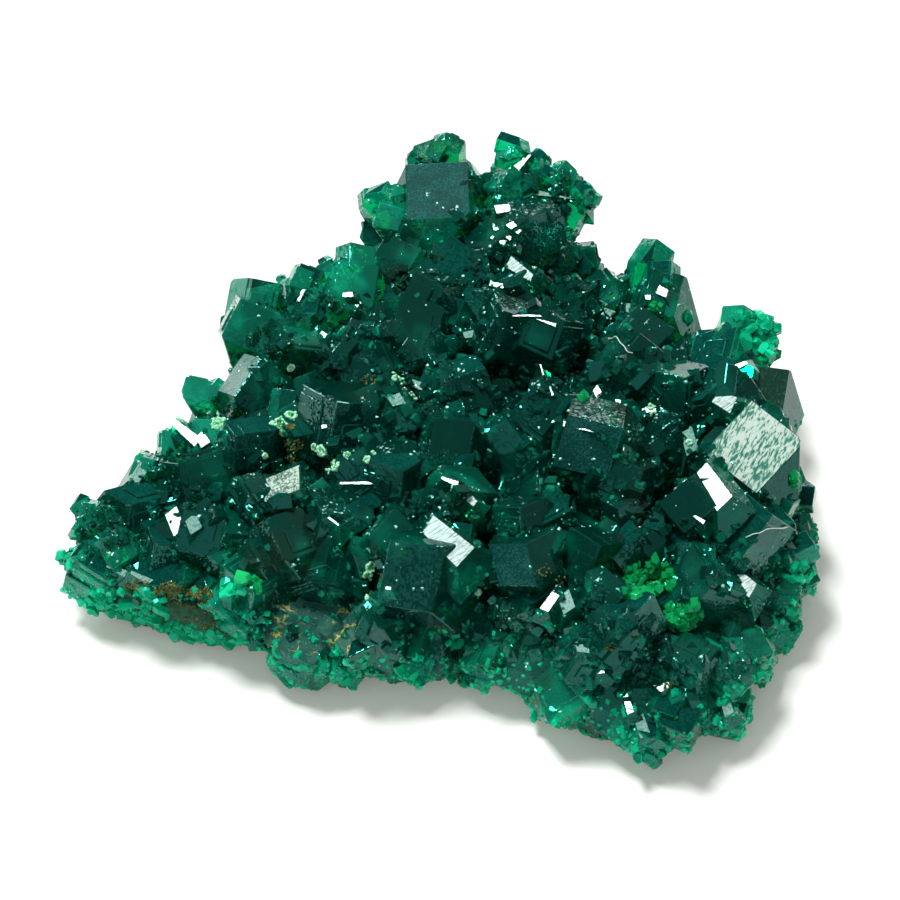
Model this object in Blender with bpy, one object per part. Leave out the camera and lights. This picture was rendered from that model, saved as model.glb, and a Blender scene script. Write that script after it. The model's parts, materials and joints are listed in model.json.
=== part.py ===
"""Raw dioptase specimen: a druse of intergrown dioptase crystals on its host rock.

The piece is a loose hand specimen, a roughly triangular plate that lies flat on its host rock.  Its upper
side and its edges are covered with stubby six-sided prisms, each closed by three nearly square end faces.

Sub-parts
    dioptase_crystals  every crystal, fused with the massive dioptase that they grow from
    host_rock          the iron-stained rock under them, bare on the underside and along the front left edge

Units are metres, +Z is up and +X runs along the longest side.  The origin is the middle of the footprint,
on the surface that the specimen lies on.  Lengths in the lists below are in millimetres.
"""

import math
import random

import bmesh
import bpy
from mathutils import Matrix, Vector, noise

MM = 0.001

# Dioptase habit: angle between the crystal's long axis and each of its three end faces.
END_FACE_ANGLE = math.radians(51.0)
# Half the tip-to-foot diagonal of an end face, as a multiple of the prism's apothem.
HALF_DIAGONAL = 0.9165

# Plan of the plate, counter-clockwise from the right hand end.
PLATE_CENTRE = (1.5, -1.0)
PLATE_PLAN = (
    (29.0, -3.0), (27.6, 3.5), (26.2, 8.6), (23.8, 11.2), (20.4, 13.4), (18.6, 17.2), (14.8, 19.4),
    (12.6, 22.8), (10.8, 26.4), (7.2, 28.0), (3.0, 28.0), (0.4, 28.8), (-2.8, 27.4), (-5.4, 24.6),
    (-6.8, 20.4), (-9.6, 16.8), (-13.0, 13.8), (-16.8, 12.2), (-18.0, 8.0), (-20.2, 4.4), (-23.0, 0.4),
    (-24.4, -4.0), (-27.6, -6.4), (-30.2, -8.4), (-28.6, -10.8), (-23.6, -12.6), (-19.2, -14.4),
    (-14.2, -17.0), (-9.2, -18.6), (-4.2, -19.2), (-0.6, -18.8), (0.9, -17.4), (2.4, -19.2), (6.4, -20.6),
    (9.2, -21.8), (11.8, -24.2), (15.2, -25.4), (19.0, -25.4), (21.8, -23.8), (23.2, -20.8),
    (25.2, -17.2), (27.6, -13.2), (29.2, -9.4),
)

# Rings of the massive dioptase, from its lower rim to its crown: height in mm and reach of the plan.
MASS_RINGS = ((3.4, 0.55), (1.3, 0.84), (1.7, 0.94), (3.2, 0.97), (4.8, 0.94), (6.2, 0.86), (7.4, 0.72),
              (8.2, 0.5), (8.8, 0.25))
MASS_CROWN_LIFT = 0.5
MASS_ROUGHNESS = 0.7
MASS_HEIGHT_SHARE = 0.6
# Rise from one ring to the next where the massive part passes over the bare rock.
MASS_BARE_STEP = 0.25
# Noise that roughens both massive parts: pitch per mm, step per ring, and one offset for each axis.
LUMP_PITCH = 0.31
LUMP_STEP = 2.7
LUMP_AXES = (0.0, 31.7, 57.3)

# Rings of the host rock, from its foot to its top.
ROCK_RINGS = ((0.0, 0.6), (0.9, 0.76), (2.4, 0.85), (4.2, 0.84), (5.2, 0.7), (5.7, 0.4))
ROCK_CROWN_LIFT = 0.2
ROCK_ROUGHNESS = 0.7
ROCK_HEIGHT_SHARE = 0.5
ROCK_LUMP_START = 20
# The rock comes out to the edge between these bearings, and the crystals stop above it there.
BARE_ROCK_FROM = math.radians(197.0)
BARE_ROCK_TO = math.radians(216.0)
BARE_ROCK_REACH = 0.985
BARE_ROCK_TOP = 5.3
BARE_ROCK_FADE = math.radians(7.0)
# Shape of that stretch: wider foot, ring that reaches furthest, taper from it, rise for each ring, and
# how far the rock may stand over its own top there.
BARE_FOOT_SPREAD = 0.06
BARE_WIDEST_RING = 2
BARE_LAST_RING = 3
BARE_TAPER = 0.03
BARE_RISE = 0.6
BARE_TOP_SPARE = 0.4

# Clearances: between rock and crystals, and between the crystals and the surface below.
ROCK_GAP = 0.5
CRYSTAL_FLOOR = 0.7
ROCK_SINK = 3.0
# Height up to which the rock's clearance is sunk, and the block that trims the crystals: side and depth.
FOOT_BAND = 0.5
FLOOR_BLOCK = (100.0, 20.0)

# Uneven growth, as a share of the apothem: the second and third end face, and the prism faces.
END_GROWTH = (-0.16, 0.1)
PRISM_GROWTH = (0.86, 1.06)

# Height of the crystals' tips: over the middle, and how much lower at the edge, the left tip and the front.
CROWN_TOP = 14.6
CROWN_EDGE_DROP = 4.6
CROWN_LEFT_DROP = 2.4
CROWN_FRONT_DROP = 1.2
# Where the drops start beyond the plate's centre line, and the length over which they grow.
CROWN_LEFT_RANGE = (16.0, 12.0)
CROWN_FRONT_RANGE = (13.0, 10.0)

# Crystals placed by one end face: face centre x, y, z, bearing and elevation of the face, turn of its
# tip corner from uphill, apothem and length below the tip.  Millimetres and degrees.
FACE_CRYSTALS = (
    (-0.3, 24.0, 13.4, 226, 72, -4, 4.1, 8.0),
    (10.7, -5.6, 14.4, 258, 30, 38, 3.4, 9.0),
    (-2.4, -15.4, 11.8, 262, 35, 40, 3.7, 9.0),
    (5.1, -15.0, 12.2, 226, 26, -8, 2.6, 9.0),
    (20.3, -8.0, 13.4, 18, 52, -14, 2.6, 9.0),
    (23.7, -3.2, 12.8, 275, 60, 0, 4.0, 9.0),
    (-12.3, -7.0, 12.4, 161, 66, -19, 2.4, 8.0),
    (-16.2, 4.8, 11.6, 168, 47, 13, 2.8, 9.0),
)

# Crystals placed by their tip: x, y, z, bearing and angle of lean, twist, apothem and length.
TIP_CRYSTALS = (
    (0.6, 28.6, 10.5, 90, 25, 10, 1.9, 6.0), (-2.6, 27.2, 10.8, 130, 30, 40, 1.7, 6.0),
    (5.6, 26.8, 13.0, 60, 18, 20, 2.0, 7.0), (9.4, 26.0, 11.6, 40, 30, 0, 2.5, 7.0),
    (4.9, 20.6, 13.6, 250, 25, 55, 2.1, 7.0), (9.6, 21.6, 13.4, 20, 55, 12, 2.8, 8.0),
    (-6.6, 24.4, 9.4, 150, 35, 5, 1.6, 6.0), (-9.0, 15.6, 13.8, 120, 22, 30, 3.3, 9.0),
    (-12.2, 14.2, 12.0, 140, 30, 48, 2.5, 8.0), (-16.0, 10.4, 14.2, 150, 12, 5, 2.6, 10.0),
    (-13.6, 9.6, 12.6, 200, 35, 26, 2.3, 8.0), (-12.6, 6.6, 13.0, 250, 30, 8, 2.6, 8.0),
    (-8.2, -0.8, 14.6, 265, 18, 30, 3.7, 9.0), (-20.2, 0.6, 11.0, 170, 35, 18, 2.4, 8.0),
    (-20.4, -4.2, 11.4, 210, 26, 44, 3.2, 9.0), (-20.2, -9.0, 11.6, 170, 25, 10, 2.4, 8.0),
    (-24.6, -8.0, 10.6, 250, 26, 35, 3.0, 8.0), (-28.4, -7.6, 8.8, 200, 38, 20, 2.6, 7.0),
    (-22.4, -11.0, 9.8, 240, 34, 12, 2.2, 7.0), (-26.6, -10.0, 8.6, 215, 42, 50, 1.9, 6.0),
    (1.4, -9.4, 14.2, 280, 30, 15, 2.6, 8.0), (5.8, -11.0, 14.2, 250, 15, 50, 2.5, 8.0),
    (12.0, -13.8, 13.0, 300, 25, 32, 2.8, 9.0), (22.8, 4.4, 14.0, 20, 28, 8, 3.9, 10.0),
    (24.8, -10.0, 12.4, 330, 30, 22, 3.6, 9.0), (27.0, -8.2, 9.4, 350, 50, 40, 2.5, 8.0),
    (20.4, -15.8, 11.4, 290, 30, 4, 3.3, 9.0), (16.8, 15.8, 12.2, 140, 20, 16, 2.3, 9.0),
    (23.6, 9.8, 11.6, 50, 40, 36, 2.7, 8.0), (19.0, 1.6, 14.6, 300, 25, 52, 2.8, 8.0),
    (15.2, 6.2, 15.0, 60, 20, 11, 3.0, 8.0), (-3.6, 10.6, 15.0, 110, 25, 27, 3.0, 8.0),
    (4.4, 7.6, 15.8, 240, 20, 3, 2.9, 8.0), (9.4, 7.0, 15.6, 330, 28, 41, 2.7, 8.0),
    (-1.2, -3.0, 15.4, 200, 22, 19, 2.8, 8.0), (15.2, -7.4, 14.4, 320, 30, 46, 2.5, 8.0),
    (-9.4, -11.0, 13.2, 240, 28, 14, 3.2, 8.0), (-9.4, -14.6, 10.4, 262, 48, 31, 3.8, 9.0),
    (14.0, -21.0, 8.8, 262, 42, 9, 2.5, 8.0), (19.0, -22.4, 8.8, 285, 45, 47, 2.6, 8.0),
    (-16.0, -2.4, 12.6, 230, 30, 24, 2.3, 8.0), (-17.0, -10.6, 10.8, 245, 35, 2, 2.5, 8.0),
)

# Smaller crystals that stand out along the outline: tip x, y, z, bearing and angle of lean, twist, apothem
# and length.
KNOB_CRYSTALS = (
    (0.1, 30.4, 13.2, 95, 14, 20, 1.4, 8.0), (-2.4, 29.6, 12.4, 110, 18, 0, 1.1, 8.0),
    (5.6, 28.8, 13.6, 80, 10, 30, 1.3, 8.0), (8.0, 28.4, 13.0, 60, 20, 45, 1.2, 8.0),
    (10.1, 27.2, 12.8, 50, 22, 10, 1.3, 8.0), (11.9, 25.6, 12.2, 30, 28, 0, 1.2, 8.0),
    (-4.2, 24.8, 12.8, 150, 20, 15, 1.4, 8.0), (-6.8, 25.2, 11.8, 160, 28, 40, 1.3, 8.0),
    (-5.2, 22.6, 12.6, 190, 22, 5, 1.5, 8.0), (-15.9, 13.5, 13.5, 140, 8, 30, 2.4, 10.0),
    (-11.7, 15.1, 13.6, 120, 16, 12, 1.7, 8.0), (-7.5, 16.9, 14.0, 110, 14, 40, 1.7, 8.0),
    (-20.3, 5.4, 10.5, 160, 24, 10, 1.4, 7.0), (-22.4, 0.4, 10.0, 170, 26, 30, 1.5, 7.0),
    (-24.3, -1.8, 9.5, 165, 28, 0, 1.3, 6.0), (-27.9, -6.8, 9.5, 190, 20, 15, 1.7, 7.0),
    (25.4, 11.4, 11.0, 40, 25, 20, 1.3, 7.0), (26.6, 10.4, 10.0, 30, 35, 50, 1.1, 6.0),
    (24.1, 11.9, 12.0, 50, 18, 40, 1.5, 8.0), (17.2, 18.8, 12.5, 60, 14, 10, 1.6, 8.0),
    (18.3, 16.6, 12.2, 40, 22, 50, 1.5, 8.0), (28.6, -9.6, 8.0, 340, 40, 0, 1.3, 6.0),
    (27.2, -4.5, 10.0, 0, 26, 20, 1.2, 6.0),
)
KNOB_SEED = 5

# Fill between the placed crystals: apothem range, tries for each size, and how closely they crowd.
FILL_SIZES = ((2.6, 3.3, 90), (1.9, 2.6, 300), (1.5, 1.9, 110))
FILL_CROWDING = 0.62
FILL_LENGTH = 8.0
FILL_REACH = 0.98
FILL_LEAN = 34.0
FILL_SEED = 22
# Area that is tried, lean at the edge, swing of the bearing, depth of the tips under the crown, lift for
# each millimetre of apothem over the middle size, and unevenness of the tips' heights.
FILL_AREA = ((-28.0, 28.0), (-26.0, 29.0))
FILL_EDGE_LEAN = 30.0
FILL_SWING = 80.0
FILL_DEPTH = 1.1
FILL_SIZE_LIFT = 0.5
FILL_MIDDLE_SIZE = 2.0
FILL_UNEVENNESS = (-1.2, 0.8)

# Crystals standing out of the edge: rows of height, apothem range, lean from upright and angular step.
EDGE_ROWS = ((6.0, 1.9, 2.8, 60.0, 13.0), (3.1, 1.6, 2.4, 86.0, 14.0))
EDGE_ROOT = 3.2
EDGE_SEED = 35
# Unevenness along the rows: height, reach, bearing, lean and step.  The step is for a plate of the middle
# radius, and a narrower plate than the least radius counts as that.
EDGE_HEIGHTS = (-0.5, 0.5)
EDGE_REACHES = (-0.3, 0.5)
EDGE_SWING = 25.0
EDGE_LEANS = (-18.0, 18.0)
EDGE_STEPS = (0.8, 1.2)
EDGE_RADIUS = 22.0
EDGE_LEAST_RADIUS = 14.0
# Bare rock weight from which the edge crystals stand above the rock, and how far above it.
EDGE_BARE_FROM = 0.2
EDGE_OVER_ROCK = 2.0

# A smaller crystal grown alongside, nearly parallel: the share of crystals that have one, the least
# apothem for it, its proportions and its tilt in degrees.
TWIN_SHARE = 0.18
TWIN_LEAST = 1.8
TWIN_SCALE = 0.72
TWIN_SHIFT = 0.62
TWIN_DROP = (0.25, 0.6)
TWIN_TILT = (2.0, 6.0)
# Full swing of a crystal's twist around its axis, after which the three end faces repeat.
TWIST_REPEAT = 120.0
# Width of the cube that a crystal is cut from, as a multiple of its length.
BLANK_SCALE = 4.0

# Numerical tolerances: a small length, the weld between neighbouring vertices and what counts as flat.
SMALL = 1e-7
WELD = 5e-6
FLAT_ANGLE = math.radians(1.0)


def clear_scene():
    """Remove whatever the file holds before the model is built."""
    for item in list(bpy.data.objects):
        bpy.data.objects.remove(item, do_unlink=True)


def principled(name, colour, roughness, transmission=0.0):
    """A Principled material with the sub-part's own colour and finish."""
    material = bpy.data.materials.new(name)
    material.use_nodes = True
    shader = material.node_tree.nodes["Principled BSDF"]
    shader.inputs["Base Color"].default_value = (*colour, 1.0)
    shader.inputs["Roughness"].default_value = roughness
    shader.inputs["Metallic"].default_value = 0.0
    shader.inputs["Transmission Weight"].default_value = transmission
    material.diffuse_color = (*colour, 1.0)
    return material


def object_from_bmesh(name, solid, material=None):
    """Put a bmesh in a new object, which is linked to the scene."""
    mesh = bpy.data.meshes.new(name)
    solid.to_mesh(mesh)
    solid.free()
    item = bpy.data.objects.new(name, mesh)
    bpy.context.scene.collection.objects.link(item)
    if material:
        mesh.materials.append(material)
    return item


def direction(bearing, elevation):
    """Unit vector for a bearing counter-clockwise from +X and an elevation, both in degrees."""
    turn = math.radians(bearing)
    rise = math.radians(elevation)
    return Vector((math.cos(rise) * math.cos(turn), math.cos(rise) * math.sin(turn), math.sin(rise)))


def plan_reach(bearing):
    """Distance in mm from the plate's centre to its edge, along a bearing in radians."""
    heading = Vector((math.cos(bearing), math.sin(bearing)))
    best = 0.0
    for start, end in zip(PLATE_PLAN, PLATE_PLAN[1:] + PLATE_PLAN[:1]):
        first = Vector(start) - Vector(PLATE_CENTRE)
        along = Vector(end) - Vector(start)
        spread = heading.x * along.y - heading.y * along.x
        if abs(spread) < SMALL:
            continue
        distance = (first.x * along.y - first.y * along.x) / spread
        place = (first.x * heading.y - first.y * heading.x) / spread
        if distance > best and 0.0 <= place <= 1.0:
            best = distance
    return best


def plan_share(x, y):
    """How far out a point lies: 0 at the plate's centre and 1 at its edge."""
    offset = Vector((x - PLATE_CENTRE[0], y - PLATE_CENTRE[1]))
    if offset.length < SMALL:
        return 0.0
    return offset.length / plan_reach(math.atan2(offset.y, offset.x))


def bare_rock_weight(bearing):
    """1 along the bare stretch of rock, fading to 0 on both sides of it."""
    turn = bearing % math.tau
    inside = min(turn - BARE_ROCK_FROM, BARE_ROCK_TO - turn)
    return min(1.0, max(0.0, 1.0 + inside / BARE_ROCK_FADE))


def crown_height(x, y):
    """Height in mm of the crystals' tips over a point of the plan."""
    share = min(1.0, plan_share(x, y))
    lift = CROWN_TOP - CROWN_EDGE_DROP * share ** 3
    left_start, left_length = CROWN_LEFT_RANGE
    front_start, front_length = CROWN_FRONT_RANGE
    left_drop = CROWN_LEFT_DROP * min(1.0, max(0.0, (-x - left_start) / left_length))
    front_drop = CROWN_FRONT_DROP * min(1.0, max(0.0, (-y - front_start) / front_length))
    return lift - left_drop - front_drop


def close_with_fan(solid, loop, lift):
    """Close a ring with triangles that meet over its middle."""
    middle = sum((vert.co for vert in loop), Vector()) / len(loop)
    hub = solid.verts.new(middle + Vector((0.0, 0.0, lift)) * MM)
    for start, end in zip(loop, loop[1:] + loop[:1]):
        solid.faces.new((start, end, hub))


def ring_solid(rings, place, crown_lift):
    """Closed solid lofted through rings around the plate's centre, with a flat foot."""
    solid = bmesh.new()
    count = len(PLATE_PLAN)
    loops = []
    for level, (height, reach) in enumerate(rings):
        loop = [solid.verts.new(place(level, index, height, reach)) for index in range(count)]
        loops.append(loop)
    for lower, upper in zip(loops, loops[1:]):
        for index in range(count):
            after = (index + 1) % count
            solid.faces.new((lower[index], lower[after], upper[after], upper[index]))
    solid.faces.new(tuple(reversed(loops[0])))
    close_with_fan(solid, loops[-1], crown_lift)
    bmesh.ops.triangulate(solid, faces=list(solid.faces))
    bmesh.ops.recalc_face_normals(solid, faces=list(solid.faces))
    return solid


def lump(x, y, level, strength):
    """Fixed unevenness in mm for the vertices of the massive parts."""
    place = Vector((x * LUMP_PITCH, y * LUMP_PITCH, level * LUMP_STEP))
    return Vector([noise.noise(place + Vector((0.0, 0.0, apart))) for apart in LUMP_AXES]) * strength


def mass_point(level, index, height, reach):
    """Vertex of the massive dioptase, raised above the bare rock where that shows."""
    x, y = PLATE_PLAN[index]
    bearing = math.atan2(y - PLATE_CENTRE[1], x - PLATE_CENTRE[0])
    bare = bare_rock_weight(bearing)
    shift = lump(x, y, level, MASS_ROUGHNESS)
    px = PLATE_CENTRE[0] + (x - PLATE_CENTRE[0]) * reach + shift.x
    py = PLATE_CENTRE[1] + (y - PLATE_CENTRE[1]) * reach + shift.y
    floor = BARE_ROCK_TOP + ROCK_GAP + MASS_BARE_STEP * level
    pz = height + shift.z * MASS_HEIGHT_SHARE
    if bare > 0.0:
        pz = max(pz, pz + (floor - pz) * bare)
    return Vector((px, py, pz)) * MM


def rock_point(level, index, height, reach):
    """Vertex of the host rock: a flat foot, rough sides, and the stretch that comes out to the edge."""
    x, y = PLATE_PLAN[index]
    bearing = math.atan2(y - PLATE_CENTRE[1], x - PLATE_CENTRE[0])
    bare = bare_rock_weight(bearing)
    if level == 0:
        spread = reach + BARE_FOOT_SPREAD * bare
        px = PLATE_CENTRE[0] + (x - PLATE_CENTRE[0]) * spread
        py = PLATE_CENTRE[1] + (y - PLATE_CENTRE[1]) * spread
        return Vector((px, py, 0.0)) * MM
    shift = lump(x, y, level + ROCK_LUMP_START, ROCK_ROUGHNESS)
    if level <= BARE_LAST_RING:
        furthest = BARE_ROCK_REACH - BARE_TAPER * abs(level - BARE_WIDEST_RING)
        reach = reach + (furthest - reach) * bare
        height = height + BARE_RISE * bare * (level - 1)
    px = PLATE_CENTRE[0] + (x - PLATE_CENTRE[0]) * reach + shift.x
    py = PLATE_CENTRE[1] + (y - PLATE_CENTRE[1]) * reach + shift.y
    pz = min(height + shift.z * ROCK_HEIGHT_SHARE, BARE_ROCK_TOP + BARE_TOP_SPARE)
    return Vector((px, py, pz)) * MM


def cut_off(solid, point, normal):
    """Cut a convex solid at a plane, drop the outer side and close the cut."""
    everything = list(solid.verts) + list(solid.edges) + list(solid.faces)
    result = bmesh.ops.bisect_plane(solid, geom=everything, dist=SMALL, plane_co=point,
                                    plane_no=normal, clear_outer=True)
    rim = [part for part in result["geom_cut"] if isinstance(part, bmesh.types.BMEdge)]
    if rim:
        bmesh.ops.contextual_create(solid, geom=rim)


def crystal(tip, axis, flat, apothem, length, chance):
    """One dioptase crystal in metres: a six-sided prism closed by three end faces that meet near the tip.

    `flat` is the outward direction of the first end face, and `chance` makes the faces grow unevenly.
    """
    axis = axis.normalized()
    out = (flat - axis * flat.dot(axis)).normalized()
    solid = bmesh.new()
    bmesh.ops.create_cube(solid, size=length * BLANK_SCALE, matrix=Matrix.Translation(tip))
    for third in range(3):
        side = Matrix.Rotation(math.tau * third / 3.0, 3, axis) @ out
        normal = axis * math.cos(END_FACE_ANGLE) + side * math.sin(END_FACE_ANGLE)
        growth = 0.0 if third == 0 else chance.uniform(*END_GROWTH) * apothem
        cut_off(solid, tip + normal * growth, normal)
    for sixth in range(6):
        side = Matrix.Rotation(math.tau * (sixth + 0.5) / 6.0, 3, axis) @ out
        cut_off(solid, tip + side * apothem * chance.uniform(*PRISM_GROWTH), side)
    cut_off(solid, tip - axis * length, -axis)
    bmesh.ops.recalc_face_normals(solid, faces=list(solid.faces))
    return solid


def add_crystal(cluster, tip, axis, flat, apothem, length, chance):
    """Add a crystal, and now and then a smaller one grown alongside it, to the cluster."""
    members = [(tip, axis, apothem)]
    if chance.random() < TWIN_SHARE and apothem > TWIN_LEAST:
        side = Matrix.Rotation(chance.uniform(0.0, math.tau), 3, axis) @ axis.orthogonal().normalized()
        drop = axis * apothem * chance.uniform(*TWIN_DROP)
        tilt = Matrix.Rotation(math.radians(chance.uniform(*TWIN_TILT)), 3, side)
        members.append((tip + (side * apothem * TWIN_SHIFT - drop), tilt @ axis, apothem * TWIN_SCALE))
    for point, heading, size in members:
        single = crystal(point * MM, heading, flat, size * MM, length * MM, chance)
        mesh = bpy.data.meshes.new("crystal")
        single.to_mesh(mesh)
        single.free()
        cluster.from_mesh(mesh)
        bpy.data.meshes.remove(mesh)


def leaning_axis(bearing, lean):
    """Crystal axis that leans from upright by an angle, towards a bearing, in degrees."""
    return direction(bearing, 90.0 - lean)


def twisted_flat(axis, twist):
    """Outward direction of the first end face for a twist around the axis, in degrees."""
    return Matrix.Rotation(math.radians(twist), 3, axis) @ axis.orthogonal().normalized()


def tip_crystals(cluster, rows, chance):
    """Crystals that are placed by their tip."""
    for x, y, z, bearing, lean, twist, apothem, length in rows:
        axis = leaning_axis(bearing, lean)
        add_crystal(cluster, Vector((x, y, z)), axis, twisted_flat(axis, twist), apothem, length, chance)


def placed_crystals(cluster, taken, chance):
    """The crystals that have their own place, by an end face or by their tip."""
    for x, y, z, bearing, elevation, turn, apothem, length in FACE_CRYSTALS:
        normal = direction(bearing, elevation)
        uphill = (Vector((0.0, 0.0, 1.0)) - normal * normal.z).normalized()
        corner = Matrix.Rotation(math.radians(turn), 3, normal) @ uphill
        axis = normal * math.cos(END_FACE_ANGLE) + corner * math.sin(END_FACE_ANGLE)
        tip = Vector((x, y, z)) + corner * HALF_DIAGONAL * apothem
        add_crystal(cluster, tip, axis, normal, apothem, length, chance)
        taken.append((x, y, apothem))
    tip_crystals(cluster, TIP_CRYSTALS, chance)
    taken.extend((row[0], row[1], row[6]) for row in TIP_CRYSTALS)


def fill_crystals(cluster, taken, chance):
    """Crystals of falling size in the space that the placed ones leave, tips along the crown."""
    for smallest, largest, tries in FILL_SIZES:
        for _ in range(tries):
            x = chance.uniform(*FILL_AREA[0])
            y = chance.uniform(*FILL_AREA[1])
            apothem = chance.uniform(smallest, largest)
            share = plan_share(x, y)
            if share > FILL_REACH:
                continue
            near = any(math.hypot(x - a, y - b) < FILL_CROWDING * (apothem + c) for a, b, c in taken)
            if near:
                continue
            outward = math.degrees(math.atan2(y - PLATE_CENTRE[1], x - PLATE_CENTRE[0]))
            lean = FILL_EDGE_LEAN * share ** 2 + chance.uniform(0.0, FILL_LEAN)
            axis = leaning_axis(outward + chance.uniform(-FILL_SWING, FILL_SWING), lean)
            lift = FILL_SIZE_LIFT * (apothem - FILL_MIDDLE_SIZE)
            z = crown_height(x, y) - FILL_DEPTH + lift + chance.uniform(*FILL_UNEVENNESS)
            flat = twisted_flat(axis, chance.uniform(0.0, TWIST_REPEAT))
            add_crystal(cluster, Vector((x, y, z)), axis, flat, apothem, FILL_LENGTH, chance)
            taken.append((x, y, apothem))


def edge_crystals(cluster, chance):
    """Rows of smaller crystals that stand out of the plate's edge."""
    for row, (height, smallest, largest, lean, step) in enumerate(EDGE_ROWS):
        bearing = chance.uniform(0.0, step)
        while bearing < 360.0:
            turn = math.radians(bearing)
            apothem = chance.uniform(smallest, largest)
            z = height + chance.uniform(*EDGE_HEIGHTS)
            reach = plan_reach(turn) + chance.uniform(*EDGE_REACHES)
            px = PLATE_CENTRE[0] + math.cos(turn) * reach
            py = PLATE_CENTRE[1] + math.sin(turn) * reach
            swing = chance.uniform(-EDGE_SWING, EDGE_SWING)
            axis = leaning_axis(bearing + swing, lean + chance.uniform(*EDGE_LEANS))
            flat = twisted_flat(axis, chance.uniform(0.0, TWIST_REPEAT))
            over_rock = bare_rock_weight(turn) > EDGE_BARE_FROM
            tip = Vector((px, py, BARE_ROCK_TOP + EDGE_OVER_ROCK if over_rock else z))
            if row == 0 or not over_rock:
                add_crystal(cluster, tip, axis, flat, apothem, EDGE_ROOT + apothem, chance)
            narrow = EDGE_RADIUS / max(EDGE_LEAST_RADIUS, plan_reach(turn))
            bearing += step * chance.uniform(*EDGE_STEPS) * narrow


def apply_boolean(target, cutter, operation, overlapping=False):
    """Join or cut with the exact solver, keep the result as the target's mesh and drop the cutter."""
    cutter.hide_render = True
    cutter.display_type = 'WIRE'
    step = target.modifiers.new(operation, 'BOOLEAN')
    step.operation = operation
    step.solver = 'EXACT'
    step.use_self = overlapping
    step.object = cutter
    graph = bpy.context.evaluated_depsgraph_get()
    result = bpy.data.meshes.new_from_object(target.evaluated_get(graph))
    target.modifiers.remove(step)
    target.data = result
    bpy.data.objects.remove(cutter, do_unlink=True)


def keep_largest_body(item):
    """Weld the specks that the cuts leave, and drop loose crumbs and closed pockets, to leave one skin."""
    solid = bmesh.new()
    solid.from_mesh(item.data)
    bmesh.ops.remove_doubles(solid, verts=list(solid.verts), dist=WELD)
    bmesh.ops.dissolve_limit(solid, angle_limit=FLAT_ANGLE, verts=list(solid.verts), edges=list(solid.edges))
    unseen = set(solid.verts)
    bodies = []
    while unseen:
        stack = [unseen.pop()]
        body = set(stack)
        while stack:
            for edge in stack.pop().link_edges:
                for vert in edge.verts:
                    if vert in unseen:
                        unseen.discard(vert)
                        body.add(vert)
                        stack.append(vert)
        bodies.append(body)
    bodies.sort(key=len)
    for body in bodies[:-1]:
        bmesh.ops.delete(solid, geom=list(body), context='VERTS')
    bmesh.ops.triangulate(solid, faces=list(solid.faces))
    solid.to_mesh(item.data)
    solid.free()


def grown_rock(rock):
    """The rock with the clearance all round it, and sunk so that it opens the crystals' underside."""
    solid = bmesh.new()
    solid.from_mesh(rock.data)
    solid.normal_update()
    moves = [(vert, vert.normal.copy()) for vert in solid.verts]
    for vert, normal in moves:
        vert.co += normal * ROCK_GAP * MM
        if vert.co.z < FOOT_BAND * MM:
            vert.co.z -= ROCK_SINK * MM
    return object_from_bmesh("rock_clearance", solid)


def floor_block():
    """Block that trims the crystals just above the surface that the specimen lies on."""
    solid = bmesh.new()
    side, depth = FLOOR_BLOCK
    centre = Vector((0.0, 0.0, CRYSTAL_FLOOR - depth * 0.5)) * MM
    size = Matrix.Diagonal((side * MM, side * MM, depth * MM, 1.0))
    bmesh.ops.create_cube(solid, size=1.0, matrix=Matrix.Translation(centre) @ size)
    return object_from_bmesh("floor_clearance", solid)


def recentre(items):
    """Bring the middle of the footprint to the origin."""
    corners = [vert.co for item in items for vert in item.data.vertices]
    low = Vector([min(point[axis] for point in corners) for axis in range(3)])
    high = Vector([max(point[axis] for point in corners) for axis in range(3)])
    shift = Vector(((low.x + high.x) * -0.5, (low.y + high.y) * -0.5, -low.z))
    for item in items:
        item.data.transform(Matrix.Translation(shift))


def build():
    clear_scene()
    green = principled("dioptase", (0.01, 0.12, 0.07), 0.12, 0.6)
    brown = principled("host_rock", (0.1, 0.1, 0.05), 0.85)
    rock = object_from_bmesh("host_rock", ring_solid(ROCK_RINGS, rock_point, ROCK_CROWN_LIFT), brown)
    mass = ring_solid(MASS_RINGS, mass_point, MASS_CROWN_LIFT)
    crystals = object_from_bmesh("dioptase_crystals", mass, green)
    cluster = bmesh.new()
    taken = []
    placed_crystals(cluster, taken, random.Random(FILL_SEED))
    fill_crystals(cluster, taken, random.Random(FILL_SEED + 1))
    edge_crystals(cluster, random.Random(EDGE_SEED))
    tip_crystals(cluster, KNOB_CRYSTALS, random.Random(KNOB_SEED))
    apply_boolean(crystals, object_from_bmesh("cluster", cluster), 'UNION', overlapping=True)
    apply_boolean(crystals, grown_rock(rock), 'DIFFERENCE')
    apply_boolean(crystals, floor_block(), 'DIFFERENCE')
    keep_largest_body(crystals)
    crystals.data.materials.clear()
    crystals.data.materials.append(green)
    recentre((crystals, rock))
    return crystals, rock


build()
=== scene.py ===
"""Raw dioptase specimen, dressed: bevelled and stepped crystals, fine druse, tufts, iron crust and rock.

Units are metres and +Z is up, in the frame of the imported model.  Lengths in the lists are millimetres, in
the plan that the plate is drawn in; PLAN_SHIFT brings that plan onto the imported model.
"""

import json
import math
import random

import bmesh
import bpy
from bpy.props import FloatProperty, FloatVectorProperty, IntProperty, PointerProperty
from mathutils import Matrix, Vector, noise
from mathutils.bvhtree import BVHTree

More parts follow.
